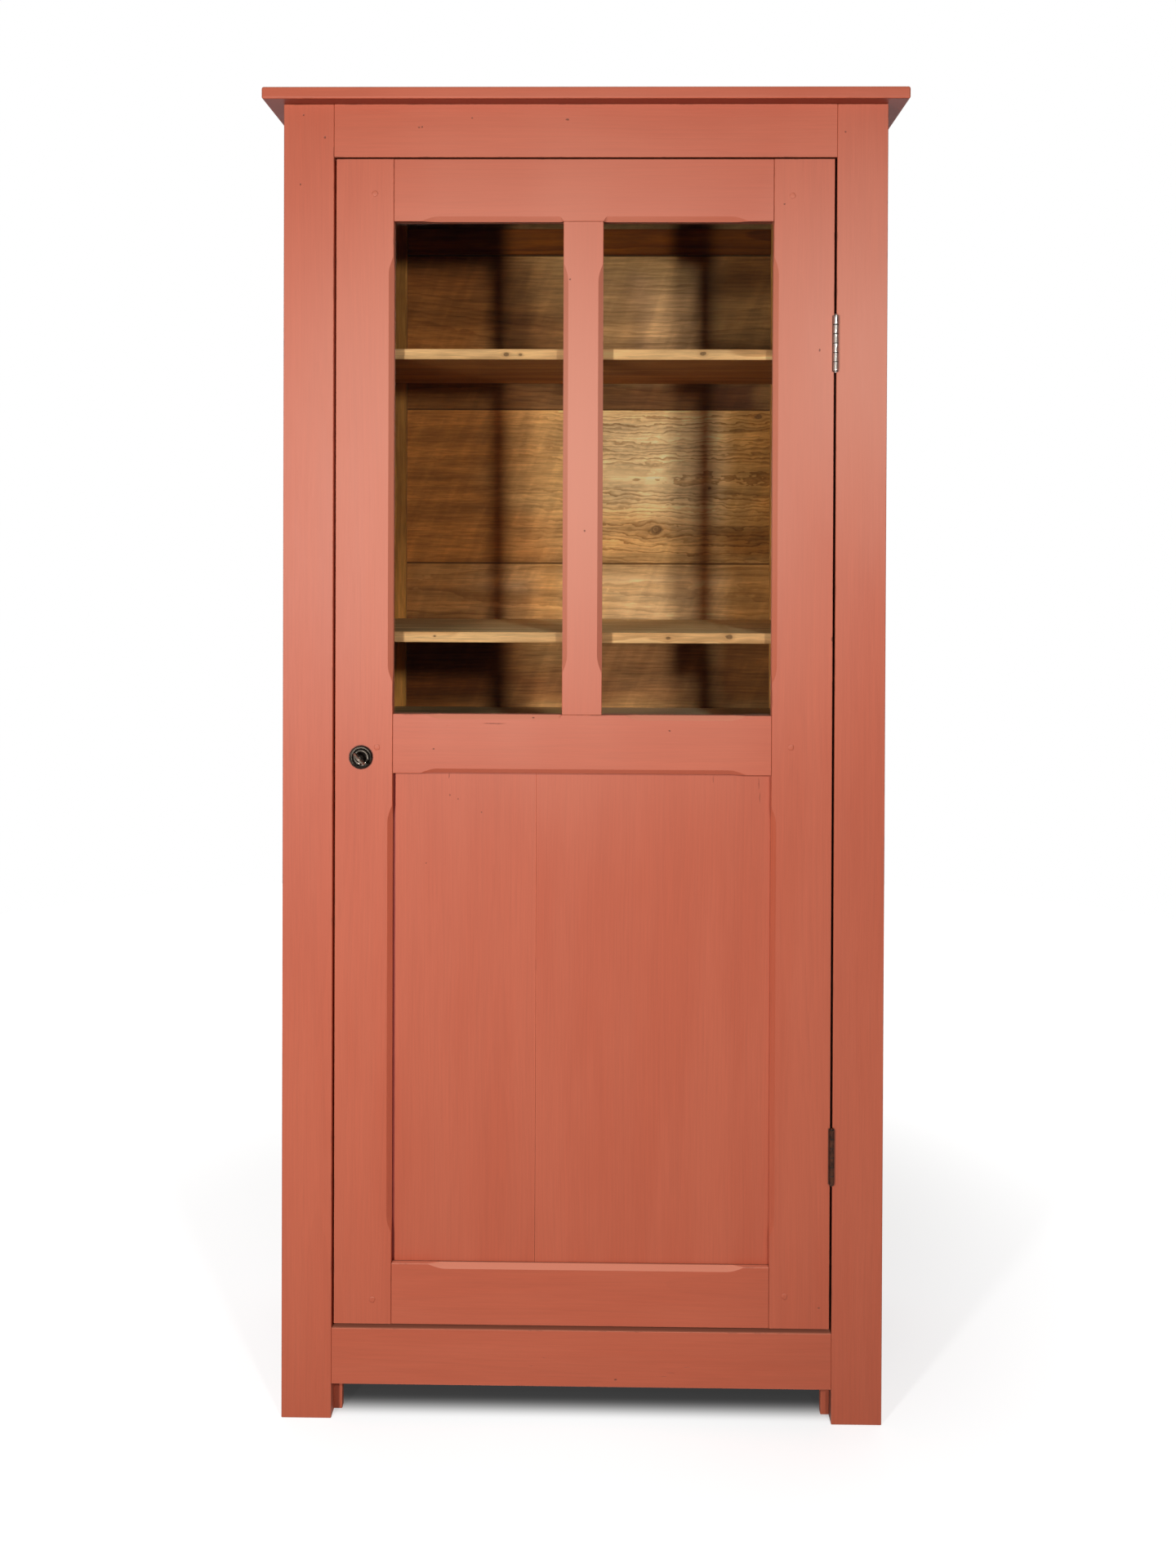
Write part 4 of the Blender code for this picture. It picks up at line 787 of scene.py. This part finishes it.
def new_object(name, data):
    """An object in the scene with its mesh, light or camera."""
    made = bpy.data.objects.new(name, data)
    bpy.context.scene.collection.objects.link(made)
    return made


def new_piece(name, shape):
    """An object in the form of a shape that was built face by face."""
    mesh = bpy.data.meshes.new(name)
    shape.to_mesh(mesh)
    shape.free()
    return new_object(name, mesh)


def joint_dirt_and_shade():
    """Near-black strips in the hairline joints of the back boards: packed dirt, painted as dark as the
    shade inside the joints, which also keep the light out of them.
    """
    shape = bmesh.new()
    for number in range(1, 7):
        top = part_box(f"back_board_{number}")[0].z
        low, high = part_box(f"back_board_{number + 1}")
        slack = (top - high.z) / 10
        rows = []
        for step in range(JOINT_BITES + 1):
            x = low.x + (high.x - low.x) * step / JOINT_BITES
            bite = 0.0008 + 0.0004 * math.sin(1.9 * step + number) * math.sin(0.37 * step)
            row = []
            for y in (low.y + bite, high.y - bite):
                for z in (high.z + slack, top - slack):
                    row.append(shape.verts.new((x, y, z)))
            rows.append(row)
        for first, second in zip(rows, rows[1:]):
            for one, other in ((0, 1), (1, 3), (3, 2), (2, 0)):
                shape.faces.new((first[one], first[other], second[other], second[one]))
        for row in (rows[0], rows[-1]):
            shape.faces.new((row[0], row[1], row[3], row[2]))
    bmesh.ops.recalc_face_normals(shape, faces=shape.faces)
    piece = new_piece("joint_dirt_and_shade", shape)
    finish, shader, place = new_finish("packed_dirt_and_shade")
    crumbs = cloud(place, 900.0, 4.0, 0.7)
    colour = tint(ease(crumbs, 0.3, 0.7), (0.012, 0.006, 0.003), (0.045, 0.022, 0.010))
    dress(shader, colour, ease(crumbs, 0.3, 0.7, 0.85, 1.0), crumbs, 0.0002)
    piece.data.materials.append(finish)
    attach(piece, "carcass")


joint_dirt_and_shade()


# The shelves: boards of newer pine, held in housings in the side uprights. Their front edges
# are freshly planed and pale, with small knots. The tops are painted paler as painted sheen, and the
# undersides darker as painted shade.

NEW_PINE = ((0.860, 0.478, 0.212), (0.440, 0.185, 0.060))
SHELF_TOP_SHEEN_PAINTED = (1.200, 1.550, 1.730)
SHELF_UNDER_SHADE_PAINTED = (0.450, 0.290, 0.150)


def new_shelf(name, seed, knots, worn=()):
    """One shelf. Worn gives, for stretches of its top, the middle, half the width and how light it is:
    painted shadow where the door's stiles shade the top, and painted light where more light falls. The
    front edge is made lighter towards the right.
    """
    low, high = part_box(name)

    def planed_edge(place, colour):
        parts = split(place)
        behind = less(parts["Y"], low.y)
        upper = ease(parts["Z"], low.z + 0.005, high.z - 0.005)
        # painted sheen on the top face, painted shadow and light along its stretches, painted shade
        # underneath
        top = SHELF_TOP_SHEEN_PAINTED
        for x, half_width, light in worn:
            out = sums("DIVIDE", distance(parts["X"], x), half_width)
            mask = fade(out, 0.5, 1.2)
            top = tint(mask, top, stained(top, (light, light, light)))
        face = tint(upper, SHELF_UNDER_SHADE_PAINTED, top)
        edge = scaled(colour, ease(parts["X"], -0.05, 0.06, 1.0, 1.20))
        return tint(ease(behind, 0.0006, 0.0016), edge, stained(colour, face))

    bare_pine(
        name, "XZY", NEW_PINE, (0.012, 0.020), 0.0042, 0.03, 0.003, seed, knots, change=planed_edge,
    )


new_shelf(
    "shelf_upper", 81.0, ((-0.1126, 1.5135, 0.0030), (-0.0924, 1.5135, 0.0020), (0.1689, 1.5155, 0.0034)),
)
new_shelf(
    "shelf_middle", 84.0, ((0.1211, 1.1080, 0.0026), (0.2083, 1.1100, 0.0036), (-0.2142, 1.1093, 0.0014)),
    ((-0.290, 0.150, 0.60),),
)
new_shelf(
    "shelf_lower", 87.0, ((-0.160, 0.962, 0.0030),),
    ((-0.240, 0.180, 0.60), (0.100, 0.110, 1.70), (0.290, 0.090, 0.60)),
)
new_shelf("shelf_base", 90.0, ((0.120, 0.532, 0.0030),))


# The door: two uprights with three rails tenoned through and pegged, a mullion between the
# panes, and stopped chamfers. Coral all over, like the frame it hangs in.

DISC_LOW, DISC_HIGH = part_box("escutcheon")
DISC_CENTRE = (DISC_LOW + DISC_HIGH) / 2
DISC_RADIUS = (DISC_HIGH.x - DISC_LOW.x) / 2
RAIL_KNOCKS = (
    (-0.1250, 0.9887, 0.0170, 0.0006),
    (-0.0702, 0.9970, 0.0018, 0.0011),
    (-0.2109, 0.9523, 0.0015, 0.0013),
    (0.1222, 0.9797, 0.0016, 0.0012),
)
MULLION_KNOCKS = ((-0.0206, 1.6150, 0.0015, 0.0015), (0.0014, 1.2612, 0.0014, 0.0017))
DOOR_STILE_KNOCKS = (
    (0.3507, 1.1100, 0.0022, 0.0040),
    (0.3304, 1.5161, 0.0013, 0.0024),
    (0.2801, 1.7208, 0.0014, 0.0013),
    (0.3361, 0.1655, 0.0017, 0.0013),
)


def from_disc(place):
    """The way from the escutcheon's centre along the face of the door."""
    return way_from(place, tuple(DISC_CENTRE), (1.0, 0.0, 1.0))


def dark_ring_round_lock(place, colour, rough, height):
    """The paint is darker in a thin ring just outside the escutcheon's rim."""
    out = gain(cloud(place, 300.0), 0.0016, shifts("LENGTH", from_disc(place)))
    mask = ease(out, DISC_RADIUS + 0.0010, DISC_RADIUS + 0.0024, 0.80, 0.0)
    return tint(mask, colour, DIRT_AND_PAINTED_SHADE), rough, height


paint_coral(
    ["door_stile_lock", "door_stile_hinge"], "ZXY", 101.1,
    [marked(DOOR_STILE_KNOCKS), dark_ring_round_lock, painted_shade_round_hinges],
)
paint_coral(
    ["door_top_rail", "door_lock_rail", "door_bottom_rail"], "XZY", 105.6,
    [marked(RAIL_KNOCKS), painted_shade_behind(0.0062, 0.0074, 0.62)],
)
paint_coral(["door_mullion"], "ZXY", 112.9, [marked(MULLION_KNOCKS)], arris=0.0002)
paint_coral(["glazing_beads_left", "glazing_beads_right"], "ZXY", 114.2)


# The lower panel: two boards butted together in the grooves of the door. Thinly painted, with a
# short crack and a few knocks near the top. The joint between the boards shows as a hairline.

PANEL_MARKS = (
    (-0.1899, 0.9130, 0.0008, 0.0048),
    (-0.1887, 0.8855, 0.0014, 0.0018),
    (-0.1771, 0.8798, 0.0013, 0.0012),
    (-0.1436, 0.8615, 0.0012, 0.0017),
    (0.1845, 0.9100, 0.0005, 0.0060),
    (0.2490, 0.9045, 0.0005, 0.0110),
    (0.2505, 0.8850, 0.0005, 0.0100),
)
PANEL_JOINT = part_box("door_panel_left")[1].x
PANEL_CORNER = Vector((-0.2692, 0.0, 0.9175))
CORNER_SHADE_PAINTED = (0.34, 0.055, 0.030)


def corner_shade_and_joint_light(place, colour, rough, height):
    """Painted shade: the coat is deep red in the panel's left and upper corners, where the stile and rail
    shade it. Painted light: a paler line along the upper part of the joint offsets the hairline's shade."""
    parts = split(place)
    wavy = times(cloud(place, 30.0, 2.0), 0.0008)
    left = sums("ADD", parts["X"], wavy)
    left = ease(left, PANEL_CORNER.x + 0.0028, PANEL_CORNER.x + 0.0040, 0.95, 0.0)
    above = less(parts["Z"], wavy)
    above = ease(above, PANEL_CORNER.z - 0.0032, PANEL_CORNER.z - 0.0020, 0.0, 0.35)
    deep = stained(colour, CORNER_SHADE_PAINTED)
    colour = tint(greater(left, above), colour, deep)
    # painted light along the joint between the boards
    beside = distance(parts["X"], PANEL_JOINT)
    ridge = fade(beside, 0.0006, 0.0011)
    ridge = times(ridge, ease(parts["Z"], 0.28, 0.55))
    return scaled(colour, gain(ridge, 0.20, 1.0)), rough, height


paint_coral(
    ["door_panel_left", "door_panel_right"], "ZXY", 121.4, [marked(PANEL_MARKS), corner_shade_and_joint_light], 0.97,
    0.00015,
)


# The panes: two sheets of old drawn glass, faintly uneven and a little green, on either side of the
# mullion. Mitred beads hold them from behind.


def blend(share, first, second):
    """Two shaders mixed by a share from 0 to 1."""
    made = put("MixShader", Fac=share)
    fill(made.inputs[1], first.outputs[0])
    fill(made.inputs[2], second.outputs[0])
    return made.outputs[0]


def pane_glass():
    finish, shader, place = new_finish("drawn_glass")
    shader.inputs["Base Color"].default_value = (0.96, 0.985, 0.965, 1.0)
    shader.inputs["Roughness"].default_value = 0.0
    shader.inputs["IOR"].default_value = 1.45
    shader.inputs["Transmission Weight"].default_value = 1.0
    waves = cloud(place, (9.0, 9.0, 3.0), 1.0)
    fill(shader.inputs["Normal"], put("Bump", Strength=1.0, Distance=0.0012, Height=waves).outputs[0])
    path = put("LightPath").outputs
    clear = put("BsdfTransparent", Color=(0.95, 0.97, 0.955, 1.0))
    open_to_lamps = greater(path["Is Shadow Ray"], path["Is Diffuse Ray"])
    output = next(node for node in finish.node_tree.nodes if node.type == "OUTPUT_MATERIAL")
    fill(output.inputs["Surface"], blend(open_to_lamps, shader, clear))
    return finish


DRAWN_GLASS = pane_glass()
for side in ("left", "right"):
    give(timbers["glass_" + side], DRAWN_GLASS)


# The pegs: whittled pins driven through the joints of the door, cut off flush and painted over.
# The coat has sunk round them, so each shows as a faint ring.

PEG_PLACES = {
    "top_left": (-0.2960, 1.7355),
    "top_right": (0.2915, 1.7325),
    "middle_left": (-0.2911, 0.9541),
    "middle_right": (0.2930, 0.9573),
    "bottom_left": (-0.2958, 0.1700),
    "bottom_right": (0.2872, 0.1812),
}
PEG_RADIUS, PEG_PROUD, PEG_SIDES = 0.0044, 0.00085, 20
DOOR_FACE_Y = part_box("door_lock_rail")[0].y


def skin(shape, rings):
    """Joins rings of points with faces and closes both ends."""
    sides = len(rings[0])
    for outer, inner in zip(rings, rings[1:]):
        for step in range(sides):
            after = (step + 1) % sides
            shape.faces.new((outer[step], outer[after], inner[after], inner[step]))
    shape.faces.new(rings[-1])
    shape.faces.new(list(reversed(rings[0])))


def soften(piece):
    """Shades a piece as one smooth skin."""
    for face in piece.data.polygons:
        face.use_smooth = True


def peg(name, x, z, turn):
    """A peg's end: not quite round, a little domed, standing just proud of the face."""
    shape = bmesh.new()
    rings = []
    for share, out in ((1.0, -0.6), (0.96, 0.35), (0.8, 0.70), (0.5, 0.92), (0.2, 1.0)):
        ring = []
        for step in range(PEG_SIDES):
            angle = math.tau * step / PEG_SIDES
            uneven = 1 + 0.05 * math.cos(4 * angle + turn) + 0.03 * math.cos(angle - turn)
            radius = PEG_RADIUS * share * uneven
            along, up = radius * math.cos(angle), radius * math.sin(angle)
            ring.append(shape.verts.new((x + along, DOOR_FACE_Y - PEG_PROUD * out, z + up)))
        rings.append(ring)
    skin(shape, rings)
    bmesh.ops.recalc_face_normals(shape, faces=shape.faces)
    piece = new_piece(name, shape)
    soften(piece)
    return piece


def peg_finish(name, x, z, seed):
    finish, shader, place = new_finish("coral_on_" + name)
    centre = Vector((x, DOOR_FACE_Y, z))
    reach = Vector((0.01, 0.01, 0.01))
    colour, rough, height = coral_coat(place, centre - reach, centre + reach, "YXZ", seed)
    pores = cloud(place, 1500.0, 2.0)
    colour = scaled(colour, ease(pores, 0.3, 0.7, 0.93, 1.05))
    sunk = ease(shifts("DISTANCE", place, tuple(centre)), 0.0038, 0.0043, 0.0, 0.35)
    dress(shader, tint(sunk, colour, DIRT_AND_PAINTED_SHADE), rough, height, 0.00014)
    return finish


for number, (where, (x, z)) in enumerate(PEG_PLACES.items()):
    piece = peg("peg_" + where, x, z, 1.1 * number)
    piece.data.materials.append(peg_finish("peg_" + where, x, z, 3.1 + number))
    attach(piece, "door")


# The hinges: folded steel butts with six knuckles on a loose pin. The upper one is rubbed
# bright, and the lower one has gone dark brown.


def metal_wear():
    """Tarnish that lies in patches, and fine scratches."""
    tree, given, wanted = effect("metal wear", "Position, Seed", "Tarnish, Scratches")
    place = moved_by_seed(given, (0.71, 0.39, 1.13))
    patches = cloud(place, (130.0, 130.0, 90.0), 5.0, 0.65)
    fill(wanted["Tarnish"], ease(patches, 0.40, 0.62))
    lines = cloud(place, (2600.0, 900.0, 160.0), 2.0, 0.6)
    fill(wanted["Scratches"], ease(lines, 0.56, 0.70))
    return tree


METAL_WEAR = metal_wear()
KNUCKLES = 6
GREASE = (0.020, 0.012, 0.008)


def metal_finish(name, bright, dull, smooth, rough, tarnished, seed, barrel=None):
    """Metal that has dulled in patches. Tarnished is how much of the dull colour shows. A hinge's
    barrel is given by its lower end and the length of a knuckle: black grease sits in its joints."""
    finish, shader, place = new_finish(name)
    wear = use(METAL_WEAR, Position=place, Seed=seed)
    patch = times(wear["Tarnish"], tarnished, clamp=True)
    colour = tint(patch, bright, dull)
    colour = tint(times(wear["Scratches"], 0.5), colour, bright)
    metal = gain(patch, -0.35, 1.0)
    gloss = gain(patch, rough - smooth, smooth)
    height = gain(wear["Scratches"], -0.3, wear["Tarnish"])
    if barrel:
        up = less(split(place)["Z"], barrel[0])
        from_joint = sums("PINGPONG", up, barrel[1] / 2)
        grease = ease(from_joint, 0.0003, 0.0010, 0.92, 0.0)
        colour = tint(grease, colour, GREASE)
        metal = less(metal, times(grease, 0.7), clamp=True)
        gloss = gain(grease, 0.25, gloss, clamp=True)
    fill(shader.inputs["Metallic"], metal)
    dress(shader, colour, gloss, height, 0.00006)
    return finish


def barrel_of(level):
    """A hinge's lower end, and how long each of its knuckles is."""
    low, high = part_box(f"hinge_{level}_door_leaf")
    return low.z, (high.z - low.z) / KNUCKLES


BRIGHT_STEEL = metal_finish(
    "rubbed_steel", (0.70, 0.67, 0.63), (0.28, 0.23, 0.18), 0.28, 0.55, 0.7, 2.0, barrel_of("upper"),
)
DULL_STEEL = metal_finish(
    "dulled_steel", (0.090, 0.036, 0.022), (0.022, 0.008, 0.005), 0.45, 0.75, 0.9, 5.0, barrel_of("lower"),
)
for level, steel in (("upper", BRIGHT_STEEL), ("lower", DULL_STEEL)):
    for part in ("door_leaf", "frame_leaf", "pin"):
        piece = timbers[f"hinge_{level}_{part}"]
        give(piece, steel)
        ease_arrises(piece, 0.0001)


# The hinge screws: slotted countersunk screws of each hinge's own steel, three to a leaf. The middle
# one is set nearer the pin, and all are driven until their heads lie flush.

SCREW_HEAD, SCREW_DEEP, SCREW_SIDES = 0.0036, 0.0019, 28


def slotted_screw(name, radius, deep, slot_turn):
    """A countersunk head, flat on top, with a slot across it. Its top looks along +Z at the origin."""
    shape = bmesh.new()
    rings = []
    for share, up in ((0.93, 0.0), (1.0, -0.08 * deep), (0.55, -deep), (0.50, -1.5 * deep)):
        ring = []
        for step in range(SCREW_SIDES):
            angle = math.tau * step / SCREW_SIDES
            there = (radius * share * math.cos(angle), radius * share * math.sin(angle), up)
            ring.append(shape.verts.new(there))
        rings.append(ring)
    skin(shape, rings[::-1])
    bmesh.ops.recalc_face_normals(shape, faces=shape.faces)
    head = new_piece(name, shape)
    slot = Matrix.Diagonal((3 * radius, 0.26 * radius, 0.9 * deep, 1.0))
    shape = bmesh.new()
    bmesh.ops.create_cube(shape, size=1.0, matrix=Matrix.Rotation(slot_turn, 4, "Z") @ slot)
    cutter = new_piece("slot", shape)
    cut = head.modifiers.new("slot", "BOOLEAN")
    cut.object = cutter
    bpy.context.view_layer.update()
    graph = bpy.context.evaluated_depsgraph_get()
    slotted = bpy.data.meshes.new_from_object(head.evaluated_get(graph))
    head.modifiers.clear()
    head.data = slotted
    bpy.data.objects.remove(cutter)
    return head


def drive(name, body, place, facing, radius, deep, turn, finish):
    """Sets a screw in its countersink, facing the given way, on a body."""
    head = slotted_screw(name, radius, deep, turn)
    head.data.materials.clear()
    head.data.materials.append(finish)
    head.rotation_mode = "QUATERNION"
    head.rotation_quaternion = Vector(facing).to_track_quat("Z", "Y")
    head.location = place
    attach(head, body)
    ease_arrises(head, 0.00008)


HALF_LEAF_GAP, SCREW_SUNK = 0.0003, 0.00012
SCREW_PLACES = ((0.026, 0.0143), (0.0, 0.0063), (-0.026, 0.0143))
for level, steel, slot in (("upper", BRIGHT_STEEL, "bright_steel"), ("lower", DULL_STEEL, "dark_steel")):
    for leaf, body, sign in (("door", "door", 1), ("frame", "carcass", -1)):
        for number, (rise, depth) in enumerate(SCREW_PLACES):
            face = PIN_X - sign * (HALF_LEAF_GAP + SCREW_SUNK)
            place = (face, FRONT_Y + depth, HINGE_HEIGHTS[level] + rise)
            drive(
                f"screw_{level}_{leaf}_{number + 1}", body, place, (sign, 0, 0), SCREW_HEAD, SCREW_DEEP,
                0.6 + 1.3 * number + sign, steel,
            )


# The lock: a steel case cut into the back of the left upright, its plate flush with the wood and
# held by four screws, and a striking plate for the bolt in the frame.

LOCK_STEEL = metal_finish("lock_steel", (0.40, 0.36, 0.31), (0.110, 0.080, 0.058), 0.32, 0.60, 0.8, 9.0)
for name in ("lock_plate", "lock_case", "lock_bolt", "strike_plate"):
    give(timbers[name], LOCK_STEEL)
    ease_arrises(timbers[name], 0.00015)
LOCK_SCREW_HEAD, LOCK_SCREW_DEEP = 0.0026, 0.0011
STRIKE_SCREW_HEAD, STRIKE_SCREW_DEEP = 0.0024, 0.0010
LOCK_SCREWS = ((-0.3417, 0.9145), (-0.3417, 0.9755), (-0.2997, 0.9145), (-0.2997, 0.9755))
PLATE_FACE_Y = FRONT_Y + 0.0240 - 0.0001
for number, (x, z) in enumerate(LOCK_SCREWS, 1):
    drive(
        f"lock_screw_{number}", "door", (x, PLATE_FACE_Y, z), (0, 1, 0), LOCK_SCREW_HEAD, LOCK_SCREW_DEEP,
        0.9 * number, LOCK_STEEL,
    )
STRIKE_FACE_X = -0.3540 - 0.0001
for number, z in enumerate((0.9364, 0.9694)):
    drive(
        f"strike_screw_{number + 1}", "carcass", (STRIKE_FACE_X, FRONT_Y + 0.01835, z), (1, 0, 0),
        STRIKE_SCREW_HEAD, STRIKE_SCREW_DEEP, 0.5 + number, LOCK_STEEL,
    )


# The escutcheon and the key: cast iron, black with age. The key's bow is rubbed down to grey metal
# where hands reach it, and the disc carries painted highlights of bright metal on its rim and round the
# keyhole.


def black_iron(name, wear_and_highlight_by):
    """Black iron. Wear_and_highlight_by gives, by place, how far the black gives way to bright metal: wear
    on the key's bow, a painted highlight on the escutcheon.
    """
    finish, shader, place = new_finish(name)
    wear = use(METAL_WEAR, Position=place, Seed=13.0)
    kept = ease(wear["Tarnish"], 0.0, 1.0, 1.0, 0.55)
    gone = times(wear_and_highlight_by(place), kept)
    colour = tint(gone, (0.010, 0.007, 0.005), (0.66, 0.56, 0.45))
    colour = tint(times(wear["Scratches"], 0.06), colour, (0.30, 0.25, 0.20))
    gloss = gain(wear["Tarnish"], 0.10, 0.23)
    metal = gain(gone, 0.5, 0.5, clamp=True)
    shader.inputs["Specular IOR Level"].default_value = 0.10
    fill(shader.inputs["Metallic"], metal)
    dress(shader, colour, gloss, wear["Tarnish"], 0.00008)
    return finish


def rim_painted_highlight(place):
    """Painted highlight: bright metal on the rim towards its upper left, and a little on a ring round the
    keyhole.
    """
    flat = from_disc(place)
    out = sums("DIVIDE", shifts("LENGTH", flat), DISC_RADIUS)
    rim = times(ease(out, 0.78, 0.82, 0.0, 0.75), fade(out, 0.86, 0.91))
    upper_left = shifts("DOT_PRODUCT", flat, (-0.5, 0.0, 0.86))
    rim = times(rim, ease(upper_left, -0.4 * DISC_RADIUS, 0.7 * DISC_RADIUS, 0.10, 1.0))
    ring = times(ease(out, 0.48, 0.56, 0.0, 0.5), fade(out, 0.58, 0.64))
    return greater(rim, ring)


def bow_rubbed(place):
    """The key's bow is rubbed most where it stands out farthest."""
    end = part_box("key")[0].y
    return ease(split(place)["Y"], end + 0.002, end + 0.012, 0.6, 0.10)


for name, wear_and_highlight_by in (("escutcheon", rim_painted_highlight), ("key", bow_rubbed)):
    give(timbers[name], black_iron(name + "_iron", wear_and_highlight_by))
    ease_arrises(timbers[name], 0.0001)


# The nails: small forged heads, dark with rust, driven from behind through the ends of the back
# boards into the uprights, two at each end.

NAIL_INSET, NAIL_SIDES = 0.0058, 12
NAIL_RINGS = ((0.0026, -0.0003), (0.0025, 0.00018), (0.0013, 0.0003))


def nail_head(shape, x, y, z, turn):
    """A nail's head on the boards' rear face, hammered out of round."""
    rings = []
    for radius, proud in NAIL_RINGS:
        ring = []
        for side in range(NAIL_SIDES):
            angle = math.tau * side / NAIL_SIDES
            reach = radius * (1 + 0.12 * math.cos(3 * angle + turn))
            along, up = reach * math.cos(angle), reach * math.sin(angle)
            ring.append(shape.verts.new((x + along, y + proud, z + up)))
        rings.append(ring)
    skin(shape, rings)


def back_nails():
    shape = bmesh.new()
    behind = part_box("back_board_3")[1].y
    for number in range(1, 8):
        low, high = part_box(f"back_board_{number}")
        for end, x in enumerate((low.x + NAIL_INSET, high.x - NAIL_INSET)):
            for step, share in enumerate((0.18, 0.82)):
                z = low.z + share * (high.z - low.z)
                nail_head(shape, x, behind, z, 1.9 * number + 0.7 * step + end)
    bmesh.ops.recalc_face_normals(shape, faces=shape.faces)
    nails = new_piece("back_nails", shape)
    soften(nails)
    iron = metal_finish("nail_iron", (0.12, 0.10, 0.085), (0.06, 0.032, 0.020), 0.5, 0.8, 1.0, 17.0)
    nails.data.materials.append(iron)
    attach(nails, "carcass")


back_nails()


# The studio: a plain pale floor, and two soft lamps left and right of the camera, at the places
# that the photograph's shadows give. The white backdrop behind gives the rest of the light.

WHITE = (1.0, 1.0, 1.0, 1.0)
FLOOR_REACH = 3.2
SHADOW_OVALS = ((-1.0, 0.055), (1.0, 0.19))
LAMP_SIZE = 0.20
LAMPS_AIM = Vector((0.0, FRONT_Y, 1.05))


def grey(light):
    """One value as a colour."""
    return put("CombineColor", Red=light, Green=light, Blue=light).outputs[0]


def floor():
    """Pale and white to the camera, but for a painted shadow under the object and painted soft shadows
    round it.
    """
    shape = bmesh.new()
    bmesh.ops.create_circle(shape, cap_ends=True, segments=96, radius=FLOOR_REACH)
    plane = new_piece("floor", shape)
    finish = bpy.data.materials.new("pale_floor")
    lay_on_bench(finish)
    place = put("TexCoord").outputs["Object"]
    mottle = ease(cloud(place, 3.0, 3.0), 0.3, 0.7, 0.22, 0.25)
    plain = put("BsdfDiffuse", Color=grey(mottle))
    far = ease(shifts("LENGTH", place), 0.8, 1.8)
    flat = split(shifts("ABSOLUTE", place))
    beside = less(flat["X"], cad_high.x - 0.026)
    before = less(flat["Y"], -FRONT_Y)
    # painted shadow under the object
    under = ease(greater(beside, before), -0.070, -0.004)
    under = gain(times(under, under), 0.95, 0.05)
    # painted soft shadows beside the object
    shade = 1.0
    for side, depth in SHADOW_OVALS:
        out = way_from(place, (side * 0.40, 0.36, 0.0), (1.9, 1.05, 0.0))
        shade = less(shade, ease(shifts("LENGTH", out), 0.0, 1.0, depth, 0.0))
    glow = times(times(gain(far, 0.24, 0.76), shade), under)
    white = put("Emission", Color=WHITE, Strength=glow)
    lit = put("BsdfDiffuse", Color=grey(times(under, 0.45)))
    shown = put("AddShader")
    fill(shown.inputs[0], white.outputs[0])
    fill(shown.inputs[1], lit.outputs[0])
    path = put("LightPath").outputs
    seen = greater(path["Is Camera Ray"], path["Is Transmission Ray"])
    seen = greater(seen, path["Is Glossy Ray"])
    put("OutputMaterial", Surface=blend(seen, plain, shown))
    plane.data.materials.append(finish)


def lamp(name, place, watts):
    """A soft round lamp, which leaves no image of itself in the panes."""
    light = bpy.data.lights.new(name, "AREA")
    light.shape = "DISK"
    light.size = LAMP_SIZE
    light.energy = watts
    light.cycles.use_multiple_importance_sampling = False
    stand = new_object(name, light)
    stand.location = place
    stand.rotation_mode = "QUATERNION"
    stand.rotation_quaternion = (LAMPS_AIM - Vector(place)).to_track_quat("-Z", "Y")


def backdrop():
    """White behind the object, softer overhead and dim towards the camera, but white where the camera
    looks past everything."""
    world = bpy.data.worlds.new("studio")
    lay_on_bench(world)
    way = split(put("TexCoord").outputs["Generated"])
    behind = ease(way["Y"], -0.10, 0.75, 0.015, 0.85)
    above = ease(way["Z"], 0.45, 0.95, 0.0, 0.40)
    path = put("LightPath").outputs
    strength = greater(path["Is Camera Ray"], greater(behind, above))
    background = put("Background", Color=WHITE, Strength=strength)
    put("OutputWorld", Surface=background.outputs[0])
    bpy.context.scene.world = world


floor()
backdrop()
lamp("lamp_left", (-1.07, FRONT_Y - 2.20, 1.21), 36.0)
lamp("lamp_right", (0.80, FRONT_Y - 2.30, 1.665), 23.0)


# The camera: at the photograph's place, a little right of the middle and at two thirds of the
# height, turned by the few tenths of a degree that the photograph shows.

FOCAL_PIXELS, CENTRE_DOWN, PICTURE_HEIGHT = 1790.7, 670.7, 1920.0
SENSOR = 36.0
YAW, PITCH, ROLL = (math.radians(angle) for angle in (-0.886, -0.473, -0.220))
CAMERA_PLACE = (0.038, FRONT_Y - 2.060, 1.2544)


def photograph_camera():
    ahead = Vector((math.sin(YAW) * math.cos(PITCH), math.cos(YAW) * math.cos(PITCH), math.sin(PITCH)))
    right = Vector((math.cos(YAW), -math.sin(YAW), 0.0))
    down = ahead.cross(right)
    level_right = math.cos(ROLL) * right + math.sin(ROLL) * down
    level_down = -math.sin(ROLL) * right + math.cos(ROLL) * down
    view = bpy.data.cameras.new("camera")
    view.sensor_width = SENSOR
    view.lens = SENSOR * FOCAL_PIXELS / PICTURE_HEIGHT
    view.shift_y = (CENTRE_DOWN - PICTURE_HEIGHT / 2) / PICTURE_HEIGHT
    view.clip_start = 0.05
    view.clip_end = 100.0
    camera = new_object("camera", view)
    turn = Matrix((level_right, -level_down, -ahead)).transposed()
    camera.matrix_world = Matrix.Translation(CAMERA_PLACE) @ turn.to_4x4()
    bpy.context.scene.camera = camera


photograph_camera()
bpy.context.scene.view_settings.view_transform = "Standard"
